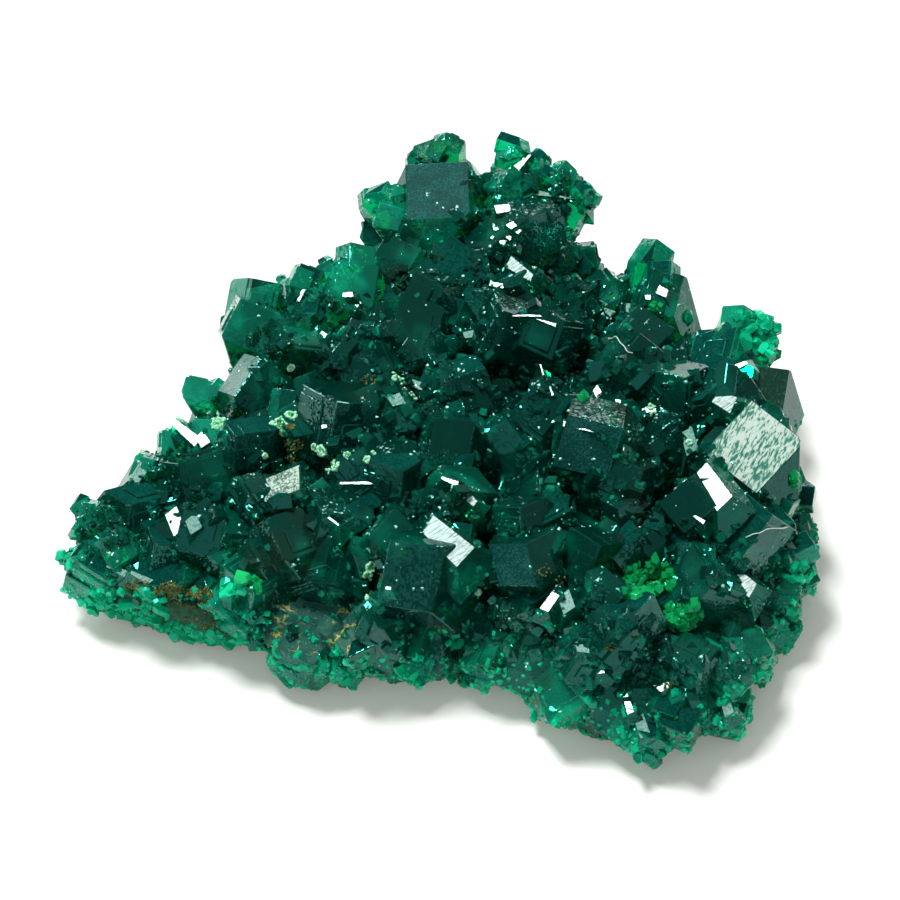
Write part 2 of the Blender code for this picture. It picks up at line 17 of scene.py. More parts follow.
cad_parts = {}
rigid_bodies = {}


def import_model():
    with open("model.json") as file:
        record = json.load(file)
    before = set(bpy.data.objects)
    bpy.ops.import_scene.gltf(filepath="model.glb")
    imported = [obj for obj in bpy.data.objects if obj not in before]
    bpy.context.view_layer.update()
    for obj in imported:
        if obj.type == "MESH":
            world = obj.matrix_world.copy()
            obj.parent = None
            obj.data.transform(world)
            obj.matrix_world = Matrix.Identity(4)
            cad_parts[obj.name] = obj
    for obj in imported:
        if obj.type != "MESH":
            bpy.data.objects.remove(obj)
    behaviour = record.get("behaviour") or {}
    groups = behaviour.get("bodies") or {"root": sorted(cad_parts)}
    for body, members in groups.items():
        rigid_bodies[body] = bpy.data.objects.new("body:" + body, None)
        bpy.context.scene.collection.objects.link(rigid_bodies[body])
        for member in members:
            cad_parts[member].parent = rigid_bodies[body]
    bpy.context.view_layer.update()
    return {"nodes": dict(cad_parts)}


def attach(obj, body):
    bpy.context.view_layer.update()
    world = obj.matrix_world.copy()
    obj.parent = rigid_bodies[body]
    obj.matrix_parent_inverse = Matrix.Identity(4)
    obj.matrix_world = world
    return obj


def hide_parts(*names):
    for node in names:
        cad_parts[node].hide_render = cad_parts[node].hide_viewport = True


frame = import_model()

bl_info = {
    "name": "Raw Dioptase",
    "version": (1, 0, 0),
    "blender": (4, 5, 0),
    "location": "3D View > Sidebar > Dioptase",
    "description": "Builds a raw dioptase specimen around its packed solids",
    "category": "Add Mesh",
}

MM = 0.001
UP = Vector((0.0, 0.0, 1.0))

# ---------------------------------------------------------------------------------------------------------
# The plate and its crystals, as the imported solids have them.
# ---------------------------------------------------------------------------------------------------------

# Dioptase habit: angle between the long axis and each of the three end faces.
END_FACE_ANGLE = math.radians(51.0)
HALF_DIAGONAL = 0.9165

# Plan of the plate, counter-clockwise from the right hand end.
PLATE_CENTRE = (1.5, -1.0)
PLATE_PLAN = (
    (29.0, -3.0), (27.6, 3.5), (26.2, 8.6), (23.8, 11.2), (20.4, 13.4), (18.6, 17.2), (14.8, 19.4),
    (12.6, 22.8), (10.8, 26.4), (7.2, 28.0), (3.0, 28.0), (0.4, 28.8), (-2.8, 27.4), (-5.4, 24.6),
    (-6.8, 20.4), (-9.6, 16.8), (-13.0, 13.8), (-16.8, 12.2), (-18.0, 8.0), (-20.2, 4.4), (-23.0, 0.4),
    (-24.4, -4.0), (-27.6, -6.4), (-30.2, -8.4), (-28.6, -10.8), (-23.6, -12.6), (-19.2, -14.4),
    (-14.2, -17.0), (-9.2, -18.6), (-4.2, -19.2), (-0.6, -18.8), (0.9, -17.4), (2.4, -19.2), (6.4, -20.6),
    (9.2, -21.8), (11.8, -24.2), (15.2, -25.4), (19.0, -25.4), (21.8, -23.8), (23.2, -20.8),
    (25.2, -17.2), (27.6, -13.2), (29.2, -9.4),
)

# The rock comes out to the edge between these bearings, and the crystals stop above it there.
BARE_ROCK_FROM = math.radians(197.0)
BARE_ROCK_TO = math.radians(216.0)
BARE_ROCK_TOP = 5.3
BARE_ROCK_FADE = math.radians(7.0)

# Clearances: between rock and crystals, and between the crystals and the surface below.
ROCK_GAP = 0.5
CRYSTAL_FLOOR = 0.7
ROCK_SINK = 3.0
# Height up to which the rock's clearance is sunk, and the block that trims the crystals: side and depth.
FOOT_BAND = 0.5
FLOOR_BLOCK = (100.0, 20.0)

# Uneven growth, as a share of the apothem: the second and third end face, and the prism faces.
END_GROWTH = (-0.16, 0.1)
PRISM_GROWTH = (0.86, 1.06)

# Height of the crystals' tips: over the middle, and how much lower at the edge, the left tip and the front.
CROWN_TOP = 14.6
CROWN_EDGE_DROP = 4.6
CROWN_LEFT_DROP = 2.4
CROWN_FRONT_DROP = 1.2
# Where the drops start beyond the plate's centre line, and the length over which they grow.
CROWN_LEFT_RANGE = (16.0, 12.0)
CROWN_FRONT_RANGE = (13.0, 10.0)

# Crystals placed by one end face: face centre x, y, z, bearing and elevation of the face, turn of its
# tip corner from uphill, apothem and length below the tip.  Millimetres and degrees.
FACE_CRYSTALS = (
    (-0.3, 24.0, 13.4, 226, 72, -4, 4.1, 8.0),
    (10.7, -5.6, 14.4, 258, 30, 38, 3.4, 9.0),
    (-2.4, -15.4, 11.8, 262, 35, 40, 3.7, 9.0),
    (5.1, -15.0, 12.2, 226, 26, -8, 2.6, 9.0),
    (20.3, -8.0, 13.4, 18, 52, -14, 2.6, 9.0),
    (23.7, -3.2, 12.8, 275, 60, 0, 4.0, 9.0),
    (-12.3, -7.0, 12.4, 161, 66, -19, 2.4, 8.0),
    (-16.2, 4.8, 11.6, 168, 47, 13, 2.8, 9.0),
)

# Crystals placed by their tip: x, y, z, bearing and angle of lean, twist, apothem and length.
TIP_CRYSTALS = (
    (0.6, 28.6, 10.5, 90, 25, 10, 1.9, 6.0), (-2.6, 27.2, 10.8, 130, 30, 40, 1.7, 6.0),
    (5.6, 26.8, 13.0, 60, 18, 20, 2.0, 7.0), (9.4, 26.0, 11.6, 40, 30, 0, 2.5, 7.0),
    (4.9, 20.6, 13.6, 250, 25, 55, 2.1, 7.0), (9.6, 21.6, 13.4, 20, 55, 12, 2.8, 8.0),
    (-6.6, 24.4, 9.4, 150, 35, 5, 1.6, 6.0), (-9.0, 15.6, 13.8, 120, 22, 30, 3.3, 9.0),
    (-12.2, 14.2, 12.0, 140, 30, 48, 2.5, 8.0), (-16.0, 10.4, 14.2, 150, 12, 5, 2.6, 10.0),
    (-13.6, 9.6, 12.6, 200, 35, 26, 2.3, 8.0), (-12.6, 6.6, 13.0, 250, 30, 8, 2.6, 8.0),
    (-8.2, -0.8, 14.6, 265, 18, 30, 3.7, 9.0), (-20.2, 0.6, 11.0, 170, 35, 18, 2.4, 8.0),
    (-20.4, -4.2, 11.4, 210, 26, 44, 3.2, 9.0), (-20.2, -9.0, 11.6, 170, 25, 10, 2.4, 8.0),
    (-24.6, -8.0, 10.6, 250, 26, 35, 3.0, 8.0), (-28.4, -7.6, 8.8, 200, 38, 20, 2.6, 7.0),
    (-22.4, -11.0, 9.8, 240, 34, 12, 2.2, 7.0), (-26.6, -10.0, 8.6, 215, 42, 50, 1.9, 6.0),
    (1.4, -9.4, 14.2, 280, 30, 15, 2.6, 8.0), (5.8, -11.0, 14.2, 250, 15, 50, 2.5, 8.0),
    (12.0, -13.8, 13.0, 300, 25, 32, 2.8, 9.0), (22.8, 4.4, 14.0, 20, 28, 8, 3.9, 10.0),
    (24.8, -10.0, 12.4, 330, 30, 22, 3.6, 9.0), (27.0, -8.2, 9.4, 350, 50, 40, 2.5, 8.0),
    (20.4, -15.8, 11.4, 290, 30, 4, 3.3, 9.0), (16.8, 15.8, 12.2, 140, 20, 16, 2.3, 9.0),
    (23.6, 9.8, 11.6, 50, 40, 36, 2.7, 8.0), (19.0, 1.6, 14.6, 300, 25, 52, 2.8, 8.0),
    (15.2, 6.2, 15.0, 60, 20, 11, 3.0, 8.0), (-3.6, 10.6, 15.0, 110, 25, 27, 3.0, 8.0),
    (4.4, 7.6, 15.8, 240, 20, 3, 2.9, 8.0), (9.4, 7.0, 15.6, 330, 28, 41, 2.7, 8.0),
    (-1.2, -3.0, 15.4, 200, 22, 19, 2.8, 8.0), (15.2, -7.4, 14.4, 320, 30, 46, 2.5, 8.0),
    (-9.4, -11.0, 13.2, 240, 28, 14, 3.2, 8.0), (-9.4, -14.6, 10.4, 262, 48, 31, 3.8, 9.0),
    (14.0, -21.0, 8.8, 262, 42, 9, 2.5, 8.0), (19.0, -22.4, 8.8, 285, 45, 47, 2.6, 8.0),
    (-16.0, -2.4, 12.6, 230, 30, 24, 2.3, 8.0), (-17.0, -10.6, 10.8, 245, 35, 2, 2.5, 8.0),
)

# A flat dark crystal on the right shoulder, placed as the face crystals are, and the seed for its faces.
SHOULDER_CRYSTALS = (
    (25.4, 5.2, 9.2, 296, 52, 16, 3.5, 8.0),
)
SHOULDER_SEED = 4
SHOULDER_GROUP = 20

# Smaller crystals that stand out along the outline: tip x, y, z, bearing and angle of lean, twist, apothem
# and length.
KNOB_CRYSTALS = (
    (0.1, 30.4, 13.2, 95, 14, 20, 1.4, 8.0), (-2.4, 29.6, 12.4, 110, 18, 0, 1.1, 8.0),
    (5.6, 28.8, 13.6, 80, 10, 30, 1.3, 8.0), (8.0, 28.4, 13.0, 60, 20, 45, 1.2, 8.0),
    (10.1, 27.2, 12.8, 50, 22, 10, 1.3, 8.0), (11.9, 25.6, 12.2, 30, 28, 0, 1.2, 8.0),
    (-4.2, 24.8, 12.8, 150, 20, 15, 1.4, 8.0), (-6.8, 25.2, 11.8, 160, 28, 40, 1.3, 8.0),
    (-5.2, 22.6, 12.6, 190, 22, 5, 1.5, 8.0), (-15.9, 13.5, 13.5, 140, 8, 30, 2.4, 10.0),
    (-11.7, 15.1, 13.6, 120, 16, 12, 1.7, 8.0), (-7.5, 16.9, 14.0, 110, 14, 40, 1.7, 8.0),
    (-20.3, 5.4, 10.5, 160, 24, 10, 1.4, 7.0), (-22.4, 0.4, 10.0, 170, 26, 30, 1.5, 7.0),
    (-24.3, -1.8, 9.5, 165, 28, 0, 1.3, 6.0), (-27.9, -6.8, 9.5, 190, 20, 15, 1.7, 7.0),
    (25.4, 11.4, 11.0, 40, 25, 20, 1.3, 7.0), (26.6, 10.4, 10.0, 30, 35, 50, 1.1, 6.0),
    (24.1, 11.9, 12.0, 50, 18, 40, 1.5, 8.0), (17.2, 18.8, 12.5, 60, 14, 10, 1.6, 8.0),
    (18.3, 16.6, 12.2, 40, 22, 50, 1.5, 8.0), (28.6, -9.6, 8.0, 340, 40, 0, 1.3, 6.0),
    (27.2, -4.5, 10.0, 0, 26, 20, 1.2, 6.0),
)
KNOB_SEED = 5
# How they are marked, and how light their green is painted: lightest of all, as glow of light through them at the
# outline.
KNOB_GROUP = -2
KNOB_GLOW_TINT = 1.1

# Fill between the placed crystals: apothem range, tries for each size, and how closely they crowd.
FILL_SIZES = ((2.6, 3.3, 90), (1.9, 2.6, 300), (1.5, 1.9, 110))
FILL_CROWDING = 0.62
FILL_LENGTH = 8.0
FILL_REACH = 0.98
FILL_LEAN = 34.0
FILL_SEED = 22
# Area that is tried, lean at the edge, swing of the bearing, depth of the tips under the crown, lift for
# each millimetre of apothem over the middle size, and unevenness of the tips' heights.
FILL_AREA = ((-28.0, 28.0), (-26.0, 29.0))
FILL_EDGE_LEAN = 30.0
FILL_SWING = 80.0
FILL_DEPTH = 1.1
FILL_SIZE_LIFT = 0.5
FILL_MIDDLE_SIZE = 2.0
FILL_UNEVENNESS = (-1.2, 0.8)

# Crystals standing out of the edge: rows of height, apothem range, lean from upright and angular step.
EDGE_ROWS = ((6.0, 1.9, 2.8, 60.0, 13.0), (3.1, 1.6, 2.4, 86.0, 14.0))
EDGE_ROOT = 3.2
EDGE_SEED = 35
# Unevenness along the rows: height, reach, bearing, lean and step.  The step is for a plate of the middle
# radius, and a narrower plate than the least radius counts as that.
EDGE_HEIGHTS = (-0.5, 0.5)
EDGE_REACHES = (-0.3, 0.5)
EDGE_SWING = 25.0
EDGE_LEANS = (-18.0, 18.0)
EDGE_STEPS = (0.8, 1.2)
EDGE_RADIUS = 22.0
EDGE_LEAST_RADIUS = 14.0
# Bare rock weight from which the edge crystals stand above the rock, and how far above it.
EDGE_BARE_FROM = 0.2
EDGE_OVER_ROCK = 2.0

# A smaller crystal grown alongside, nearly parallel: the share of crystals that have one, the least
# apothem for it, its proportions and its tilt in degrees.
TWIN_SHARE = 0.18
TWIN_LEAST = 1.8
TWIN_SCALE = 0.72
TWIN_SHIFT = 0.62
TWIN_DROP = (0.25, 0.6)
TWIN_TILT = (2.0, 6.0)
# Full swing of a crystal's twist around its axis, after which the three end faces repeat.
TWIST_REPEAT = 120.0
# Width of the cube that a crystal is cut from, as a multiple of its length.
BLANK_SCALE = 4.0

# Numerical tolerances: a small length and the weld between neighbouring vertices.
SMALL = 1e-7
WELD = 5e-6

# ---------------------------------------------------------------------------------------------------------
# What the dressed piece adds to them.
# ---------------------------------------------------------------------------------------------------------

# Where the plan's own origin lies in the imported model.
PLAN_SHIFT = Vector((0.261, -2.829, 0.0))

# Viewing place: the point looked at, the angle above the horizon, the distance and the width in view.
CAMERA_TARGET = (Vector((0.4, 0.0, 8.0)) + PLAN_SHIFT) * MM
CAMERA_ELEVATION = math.radians(50.0)
CAMERA_DISTANCE = 0.26
CAMERA_WIDTH = 0.0712
CAMERA_PLACE = CAMERA_TARGET + CAMERA_DISTANCE * Vector(
    (0.0, -math.cos(CAMERA_ELEVATION), math.sin(CAMERA_ELEVATION)))

# Skin that each bevelled crystal has over its plain solid, and the chamfer along its edges.
SKIN = 0.035
CHAMFER = (0.05, 0.085)
# Growth steps: parallel smaller crystals that stand out of a face, by these ranges of size and of height.
STEP_SIZE = (0.34, 0.78)
STEP_RISE = (0.03, 0.2)
STEP_PROUD = (-0.35, 0.14)
STEP_SEED = 7
# Corners chipped off: share of crystals, and the depth as a share of the apothem.
CHIP_SHARE = 0.35
CHIP_DEPTH = (0.05, 0.2)


def direction(bearing, elevation):
    """Unit vector for a bearing counter-clockwise from +X and an elevation, both in degrees."""
    turn = math.radians(bearing)
    rise = math.radians(elevation)
    return Vector((math.cos(rise) * math.cos(turn), math.cos(rise) * math.sin(turn), math.sin(rise)))


def plan_reach(bearing):
    """Distance in mm from the plate's centre to its edge, along a bearing in radians."""
    heading = Vector((math.cos(bearing), math.sin(bearing)))
    best = 0.0
    for start, end in zip(PLATE_PLAN, PLATE_PLAN[1:] + PLATE_PLAN[:1]):
        first = Vector(start) - Vector(PLATE_CENTRE)
        along = Vector(end) - Vector(start)
        spread = heading.x * along.y - heading.y * along.x
        if abs(spread) < SMALL:
            continue
        distance = (first.x * along.y - first.y * along.x) / spread
        place = (first.x * heading.y - first.y * heading.x) / spread
        if distance > best and 0.0 <= place <= 1.0:
            best = distance
    return best


def plan_share(x, y):
    """How far out a point lies: 0 at the plate's centre and 1 at its edge."""
    offset = Vector((x - PLATE_CENTRE[0], y - PLATE_CENTRE[1]))
    if offset.length < SMALL:
        return 0.0
    return offset.length / plan_reach(math.atan2(offset.y, offset.x))


def bare_rock_weight(bearing):
    """1 along the bare stretch of rock, fading to 0 on both sides of it."""
    turn = bearing % math.tau
    inside = min(turn - BARE_ROCK_FROM, BARE_ROCK_TO - turn)
    return min(1.0, max(0.0, 1.0 + inside / BARE_ROCK_FADE))


def crown_height(x, y):
    """Height in mm of the crystals' tips over a point of the plan."""
    share = min(1.0, plan_share(x, y))
    lift = CROWN_TOP - CROWN_EDGE_DROP * share ** 3
    left_start, left_length = CROWN_LEFT_RANGE
    front_start, front_length = CROWN_FRONT_RANGE
    left_drop = CROWN_LEFT_DROP * min(1.0, max(0.0, (-x - left_start) / left_length))
    front_drop = CROWN_FRONT_DROP * min(1.0, max(0.0, (-y - front_start) / front_length))
    return lift - left_drop - front_drop


def leaning_axis(bearing, lean):
    """Crystal axis that leans from upright by an angle, towards a bearing, in degrees."""
    return direction(bearing, 90.0 - lean)


def twisted_flat(axis, twist):
    """Outward direction of the first end face for a twist around the axis, in degrees."""
    return Matrix.Rotation(math.radians(twist), 3, axis) @ axis.orthogonal().normalized()


# Soft lights: bearing and elevation they shine from, distance, width and height in metres, radiance.
LIGHTS = (
    ("key_light", 138.0, 69.0, 0.5, 0.15, 0.15, 44.0),
    ("front_light", 250.0, 40.0, 0.6, 0.5, 0.5, 0.6),
    ("back_strip", 104.0, 21.0, 0.38, 0.3, 0.05, 12.0),
)
LIGHT_AIM = Vector((0.0, 0.0, 0.008))
LIGHT_PLACES = [direction(row[1], row[2]) * row[3] + LIGHT_AIM for row in LIGHTS]
KEY_PLACE = LIGHT_PLACES[0]
STRIP_PLACE = LIGHT_PLACES[2]


class Habit:
    """One crystal: its tip, axis, first end face, size in mm and how unevenly its faces grew."""

    def __init__(self, tip, axis, flat, apothem, length, growth, reach, group):
        self.tip = tip
        self.axis = axis.normalized()
        self.out = (flat - self.axis * flat.dot(self.axis)).normalized()
        self.apothem = apothem
        self.length = length
        self.growth = growth
        self.reach = reach
        self.group = group

    def end_side(self, third):
        return Matrix.Rotation(math.tau * third / 3.0, 3, self.axis) @ self.out

    def end_normal(self, third):
        return self.axis * math.cos(END_FACE_ANGLE) + self.end_side(third) * math.sin(END_FACE_ANGLE)

    def prism_normal(self, sixth):
        return Matrix.Rotation(math.tau * (sixth + 0.5) / 6.0, 3, self.axis) @ self.out

    def planes(self):
        """Point and outward normal of every face: three end faces, six prism faces and the root."""
        found = []
        for third in range(3):
            normal = self.end_normal(third)
            found.append((self.tip + normal * self.growth[third], normal))
        for sixth in range(6):
            normal = self.prism_normal(sixth)
            found.append((self.tip + normal * self.reach[sixth], normal))
        found.append((self.tip - self.axis * self.length, -self.axis))
        return found


def add_habit(found, tip, axis, flat, apothem, length, chance, group):
    """Add a crystal, and now and then a smaller one grown alongside it, with the solids' own draws."""
    members = [(tip, axis, apothem)]
    if chance.random() < TWIN_SHARE and apothem > TWIN_LEAST:
        side = Matrix.Rotation(chance.uniform(0.0, math.tau), 3, axis) @ axis.orthogonal().normalized()
        drop = axis * apothem * chance.uniform(*TWIN_DROP)
        tilt = Matrix.Rotation(math.radians(chance.uniform(*TWIN_TILT)), 3, side)
        members.append((tip + (side * apothem * TWIN_SHIFT - drop), tilt @ axis, apothem * TWIN_SCALE))
    for order, (point, heading, size) in enumerate(members):
        growth = (0.0, chance.uniform(*END_GROWTH) * size, chance.uniform(*END_GROWTH) * size)
        reach = [size * chance.uniform(*PRISM_GROWTH) for _ in range(6)]
        found.append(Habit(point, heading, flat, size, length, growth, reach, group if order == 0 else -1))


def add_faces(found, rows, chance, first_group):
    """Crystals that are placed by the middle of their first end face."""
    for number, (x, y, z, bearing, elevation, turn, apothem, length) in enumerate(rows):
        normal = direction(bearing, elevation)
        uphill = (UP - normal * normal.z).normalized()
        corner = Matrix.Rotation(math.radians(turn), 3, normal) @ uphill
        axis = normal * math.cos(END_FACE_ANGLE) + corner * math.sin(END_FACE_ANGLE)
        tip = Vector((x, y, z)) + corner * HALF_DIAGONAL * apothem
        add_habit(found, tip, axis, normal, apothem, length, chance, number + first_group)


def add_tips(found, rows, chance):
    """Crystals that are placed by their tip."""
    for x, y, z, bearing, lean, twist, apothem, length in rows:
        axis = leaning_axis(bearing, lean)
        add_habit(found, Vector((x, y, z)), axis, twisted_flat(axis, twist), apothem, length, chance, 0)


def planned_crystals():
    """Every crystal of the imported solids, in millimetres of the plan."""
    found = []
    taken = []
    chance = random.Random(FILL_SEED)
    add_faces(found, FACE_CRYSTALS, chance, 1)
    add_tips(found, TIP_CRYSTALS, chance)
    taken.extend((row[0], row[1], row[6]) for row in FACE_CRYSTALS + TIP_CRYSTALS)
    chance = random.Random(FILL_SEED + 1)
    for smallest, largest, tries in FILL_SIZES:
        for _ in range(tries):
            x = chance.uniform(*FILL_AREA[0])
            y = chance.uniform(*FILL_AREA[1])
            apothem = chance.uniform(smallest, largest)
            share = plan_share(x, y)
            if share > FILL_REACH:
                continue
            near = any(math.hypot(x - a, y - b) < FILL_CROWDING * (apothem + c) for a, b, c in taken)
            if near:
                continue
            outward = math.degrees(math.atan2(y - PLATE_CENTRE[1], x - PLATE_CENTRE[0]))
            lean = FILL_EDGE_LEAN * share ** 2 + chance.uniform(0.0, FILL_LEAN)
            axis = leaning_axis(outward + chance.uniform(-FILL_SWING, FILL_SWING), lean)
            lift = FILL_SIZE_LIFT * (apothem - FILL_MIDDLE_SIZE)
            z = crown_height(x, y) - FILL_DEPTH + lift + chance.uniform(*FILL_UNEVENNESS)
            flat = twisted_flat(axis, chance.uniform(0.0, TWIST_REPEAT))
            add_habit(found, Vector((x, y, z)), axis, flat, apothem, FILL_LENGTH, chance, 0)
            taken.append((x, y, apothem))
    chance = random.Random(EDGE_SEED)
    for row, (height, smallest, largest, lean, step) in enumerate(EDGE_ROWS):
        bearing = chance.uniform(0.0, step)
        while bearing < 360.0:
            turn = math.radians(bearing)
            apothem = chance.uniform(smallest, largest)
            z = height + chance.uniform(*EDGE_HEIGHTS)
            reach = plan_reach(turn) + chance.uniform(*EDGE_REACHES)
            px = PLATE_CENTRE[0] + math.cos(turn) * reach
            py = PLATE_CENTRE[1] + math.sin(turn) * reach
            swing = chance.uniform(-EDGE_SWING, EDGE_SWING)
            axis = leaning_axis(bearing + swing, lean + chance.uniform(*EDGE_LEANS))
            flat = twisted_flat(axis, chance.uniform(0.0, TWIST_REPEAT))
            over_rock = bare_rock_weight(turn) > EDGE_BARE_FROM
            tip = Vector((px, py, BARE_ROCK_TOP + EDGE_OVER_ROCK if over_rock else z))
            if row == 0 or not over_rock:
                add_habit(found, tip, axis, flat, apothem, EDGE_ROOT + apothem, chance, 0)
            narrow = EDGE_RADIUS / max(EDGE_LEAST_RADIUS, plan_reach(turn))
            bearing += step * chance.uniform(*EDGE_STEPS) * narrow
    planned = len(found)
    add_tips(found, KNOB_CRYSTALS, random.Random(KNOB_SEED))
    for habit in found[planned:]:
        habit.group = KNOB_GROUP
    return found


def cut_off(solid, point, normal):
    """Cut a convex solid at a plane, drop the outer side and close the cut."""
    everything = list(solid.verts) + list(solid.edges) + list(solid.faces)
    result = bmesh.ops.bisect_plane(solid, geom=everything, dist=SMALL, plane_co=point,
                                    plane_no=normal, clear_outer=True)
    rim = [part for part in result["geom_cut"] if isinstance(part, bmesh.types.BMEdge)]
    if rim:
        bmesh.ops.contextual_create(solid, geom=rim)


def convex_solid(middle, span, planes):
    """Closed convex solid in metres that planes in metres cut out of a cube."""
    solid = bmesh.new()
    bmesh.ops.create_cube(solid, size=span, matrix=Matrix.Translation(middle))
    for point, normal in planes:
        cut_off(solid, point, normal)
    bmesh.ops.recalc_face_normals(solid, faces=list(solid.faces))
    return solid


def mesh_piece(name, mesh):
    """A new object at the origin that shows a mesh."""
    piece = bpy.data.objects.new(name, mesh)
    bpy.context.scene.collection.objects.link(piece)
    return piece


def mesh_of(solid, name):
    """Turn a bmesh into a mesh and free it."""
    mesh = bpy.data.meshes.new(name)
    solid.to_mesh(mesh)
    solid.free()
    return mesh


def give_faces(mesh, name, kind, values):
    """Store one value for each face of a mesh."""
    layer = mesh.attributes.new(name, kind, 'FACE')
    layer.data.foreach_set("value", values)


def step_members(habit, chance):
    """Smaller parallel crystals that stand a little out of a crystal's faces, as growth steps."""
    if habit.group > 0:
        return []
    count = 2 + int(habit.apothem > 2.2) + int(habit.apothem > 3.0) * 2
    members = []
    for _ in range(count):
        size = habit.apothem * chance.uniform(*STEP_SIZE)
        side = Matrix.Rotation(chance.uniform(0.0, math.tau), 3, habit.axis) @ habit.out
        proud = chance.uniform(*STEP_PROUD)
        lateral = side * max(0.0, habit.apothem - size + proud)
        rise = chance.uniform(*STEP_RISE)
        highest = max(lateral.dot(habit.end_normal(third)) for third in range(3))
        shift = lateral + habit.axis * ((rise - highest) / math.cos(END_FACE_ANGLE))
        reach = [size * chance.uniform(*PRISM_GROWTH) for _ in range(6)]
        members.append(Habit(habit.tip + shift, habit.axis, habit.out, size, habit.length * 0.6,
                             habit.growth, reach, habit.group))
    return members


def chip_corner(solid, depth, chance):
    """Break one corner off a convex solid along a slanted plane."""
    corners = [vert.co.copy() for vert in solid.verts]
    middle = sum(corners, Vector()) / len(corners)
    corner = max(corners, key=lambda point: (point - middle).z + chance.uniform(-1.0, 1.0) * MM * 3.0)
    slant = Vector([chance.uniform(-1.0, 1.0) for _ in range(3)]) * 0.45
    normal = ((corner - middle).normalized() + slant).normalized()
    cut_off(solid, corner - normal * depth, normal)
    solid.normal_update()


def bevelled_crystal(habit, chance, tint, chip=True):
    """One crystal as a closed mesh in metres, with chamfered edges and its face attributes."""
    planes = []
    for point, normal in habit.planes():
        planes.append(((point + PLAN_SHIFT + normal * SKIN) * MM, normal))
    solid = convex_solid((habit.tip + PLAN_SHIFT) * MM, habit.length * BLANK_SCALE * MM, planes)
    if chip and chance.random() < CHIP_SHARE:
        chip_corner(solid, habit.apothem * chance.uniform(*CHIP_DEPTH) * MM, chance)
    width = chance.uniform(*CHAMFER) * MM * min(1.0, habit.apothem * 0.6)
    bmesh.ops.bevel(solid, geom=list(solid.edges), offset=width, segments=1, affect='EDGES')
    bmesh.ops.triangulate(solid, faces=list(solid.faces))
    solid.normal_update()
    etched = []
    for face in solid.faces:
        on_first_face = habit.group > 0 and face.normal.dot(habit.end_normal(0)) > 0.9995
        etched.append(habit.group if on_first_face else 0)
    mesh = mesh_of(solid, "crystal")
    give_faces(mesh, "etched", 'INT', etched)
    give_faces(mesh, "tint", 'FLOAT', [tint] * len(mesh.polygons))
    return mesh


def combine(base, meshes, operation):
    """Join closed meshes to a closed base mesh, or cut them out of it, and return the new mesh."""
    target = mesh_piece("joining", base)
    members = bpy.data.collections.new("members")
    bpy.context.scene.collection.children.link(members)
    for mesh in meshes:
        members.objects.link(bpy.data.objects.new("member", mesh))
    step = target.modifiers.new(operation, 'BOOLEAN')
    step.operation = operation
    step.solver = 'MANIFOLD'
    step.operand_type = 'COLLECTION'
    step.collection = members
    graph = bpy.context.evaluated_depsgraph_get()
    result = bpy.data.meshes.new_from_object(target.evaluated_get(graph))
    for item in list(members.objects):
        bpy.data.objects.remove(item, do_unlink=True)
    bpy.data.collections.remove(members)
    bpy.data.objects.remove(target, do_unlink=True)
    return result


def merged_copy(node):
    """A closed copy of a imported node's mesh."""
    solid = bmesh.new()
    solid.from_mesh(frame["nodes"][node].data)
    bmesh.ops.remove_doubles(solid, verts=list(solid.verts), dist=SMALL * 5.0)
    return solid


def grown_rock():
    """The rock with the clearance all round it, sunk so that it opens the crystals' underside."""
    solid = merged_copy("host_rock")
    solid.normal_update()
    moves = [(vert, vert.normal.copy()) for vert in solid.verts]
    for vert, normal in moves:
        vert.co += normal * ROCK_GAP * MM
        if vert.co.z < FOOT_BAND * MM:
            vert.co.z -= ROCK_SINK * MM
    return mesh_of(solid, "rock_clearance")


def floor_block():
    """Block that trims the crystals just above the surface that the specimen lies on."""
    solid = bmesh.new()
    side, depth = FLOOR_BLOCK
    centre = Vector((0.0, 0.0, CRYSTAL_FLOOR - depth * 0.5)) * MM
    size = Matrix.Diagonal((side * MM, side * MM, depth * MM, 1.0))
    bmesh.ops.create_cube(solid, size=1.0, matrix=Matrix.Translation(centre) @ size)
    return mesh_of(solid, "floor_clearance")


class Surface:
    """A mesh that pieces are placed on: random spots, how open they are, and what lies below a point."""

    def __init__(self, mesh):
        mesh.calc_loop_triangles()
        self.points = [vert.co.copy() for vert in mesh.vertices]
        self.triangles = [tuple(tri.vertices) for tri in mesh.loop_triangles]
        self.tree = BVHTree.FromPolygons(self.points, self.triangles)
        self.areas = []
        total = 0.0
        for tri in mesh.loop_triangles:
            total += tri.area
            self.areas.append(total)

    def spots(self, count, chance):
        """Random spots, even over the surface: point and outward normal."""
        found = []
        marks = sorted(chance.uniform(0.0, self.areas[-1]) for _ in range(count))
        index = 0
        for mark in marks:
            while self.areas[index] < mark:
                index += 1
            a, b, c = (self.points[corner] for corner in self.triangles[index])
            u = chance.random()
            v = chance.random()
            if u + v > 1.0:
                u, v = 1.0 - u, 1.0 - v
            found.append((a + (b - a) * u + (c - a) * v, (b - a).cross(c - a).normalized()))
        chance.shuffle(found)
        return found

    def openness(self, point, normal, reach, chance, rays=10):
        """Share of directions above a spot that nothing blocks within a reach."""
        start = point + normal * 0.02 * MM
        free = 0
        for _ in range(rays):
            heading = Vector([chance.gauss(0.0, 1.0) for _ in range(3)]).normalized()
            heading = (heading + normal * 1.05).normalized()
            if self.tree.ray_cast(start, heading, reach)[0] is None:
                free += 1
        return free / rays

    def under_sight(self, x, y):
        """The spot that the line of sight through (x, y) at SIGHT_LEVEL meets: point and normal."""
        through = (Vector((x, y, SIGHT_LEVEL)) + PLAN_SHIFT) * MM
        heading = (through - CAMERA_PLACE).normalized()
        point, normal, _, _ = self.tree.ray_cast(CAMERA_PLACE, heading)
        return point, normal


# ---------------------------------------------------------------------------------------------------------
# Node trees: shared effects, materials and the scatter of small shapes.
# ---------------------------------------------------------------------------------------------------------


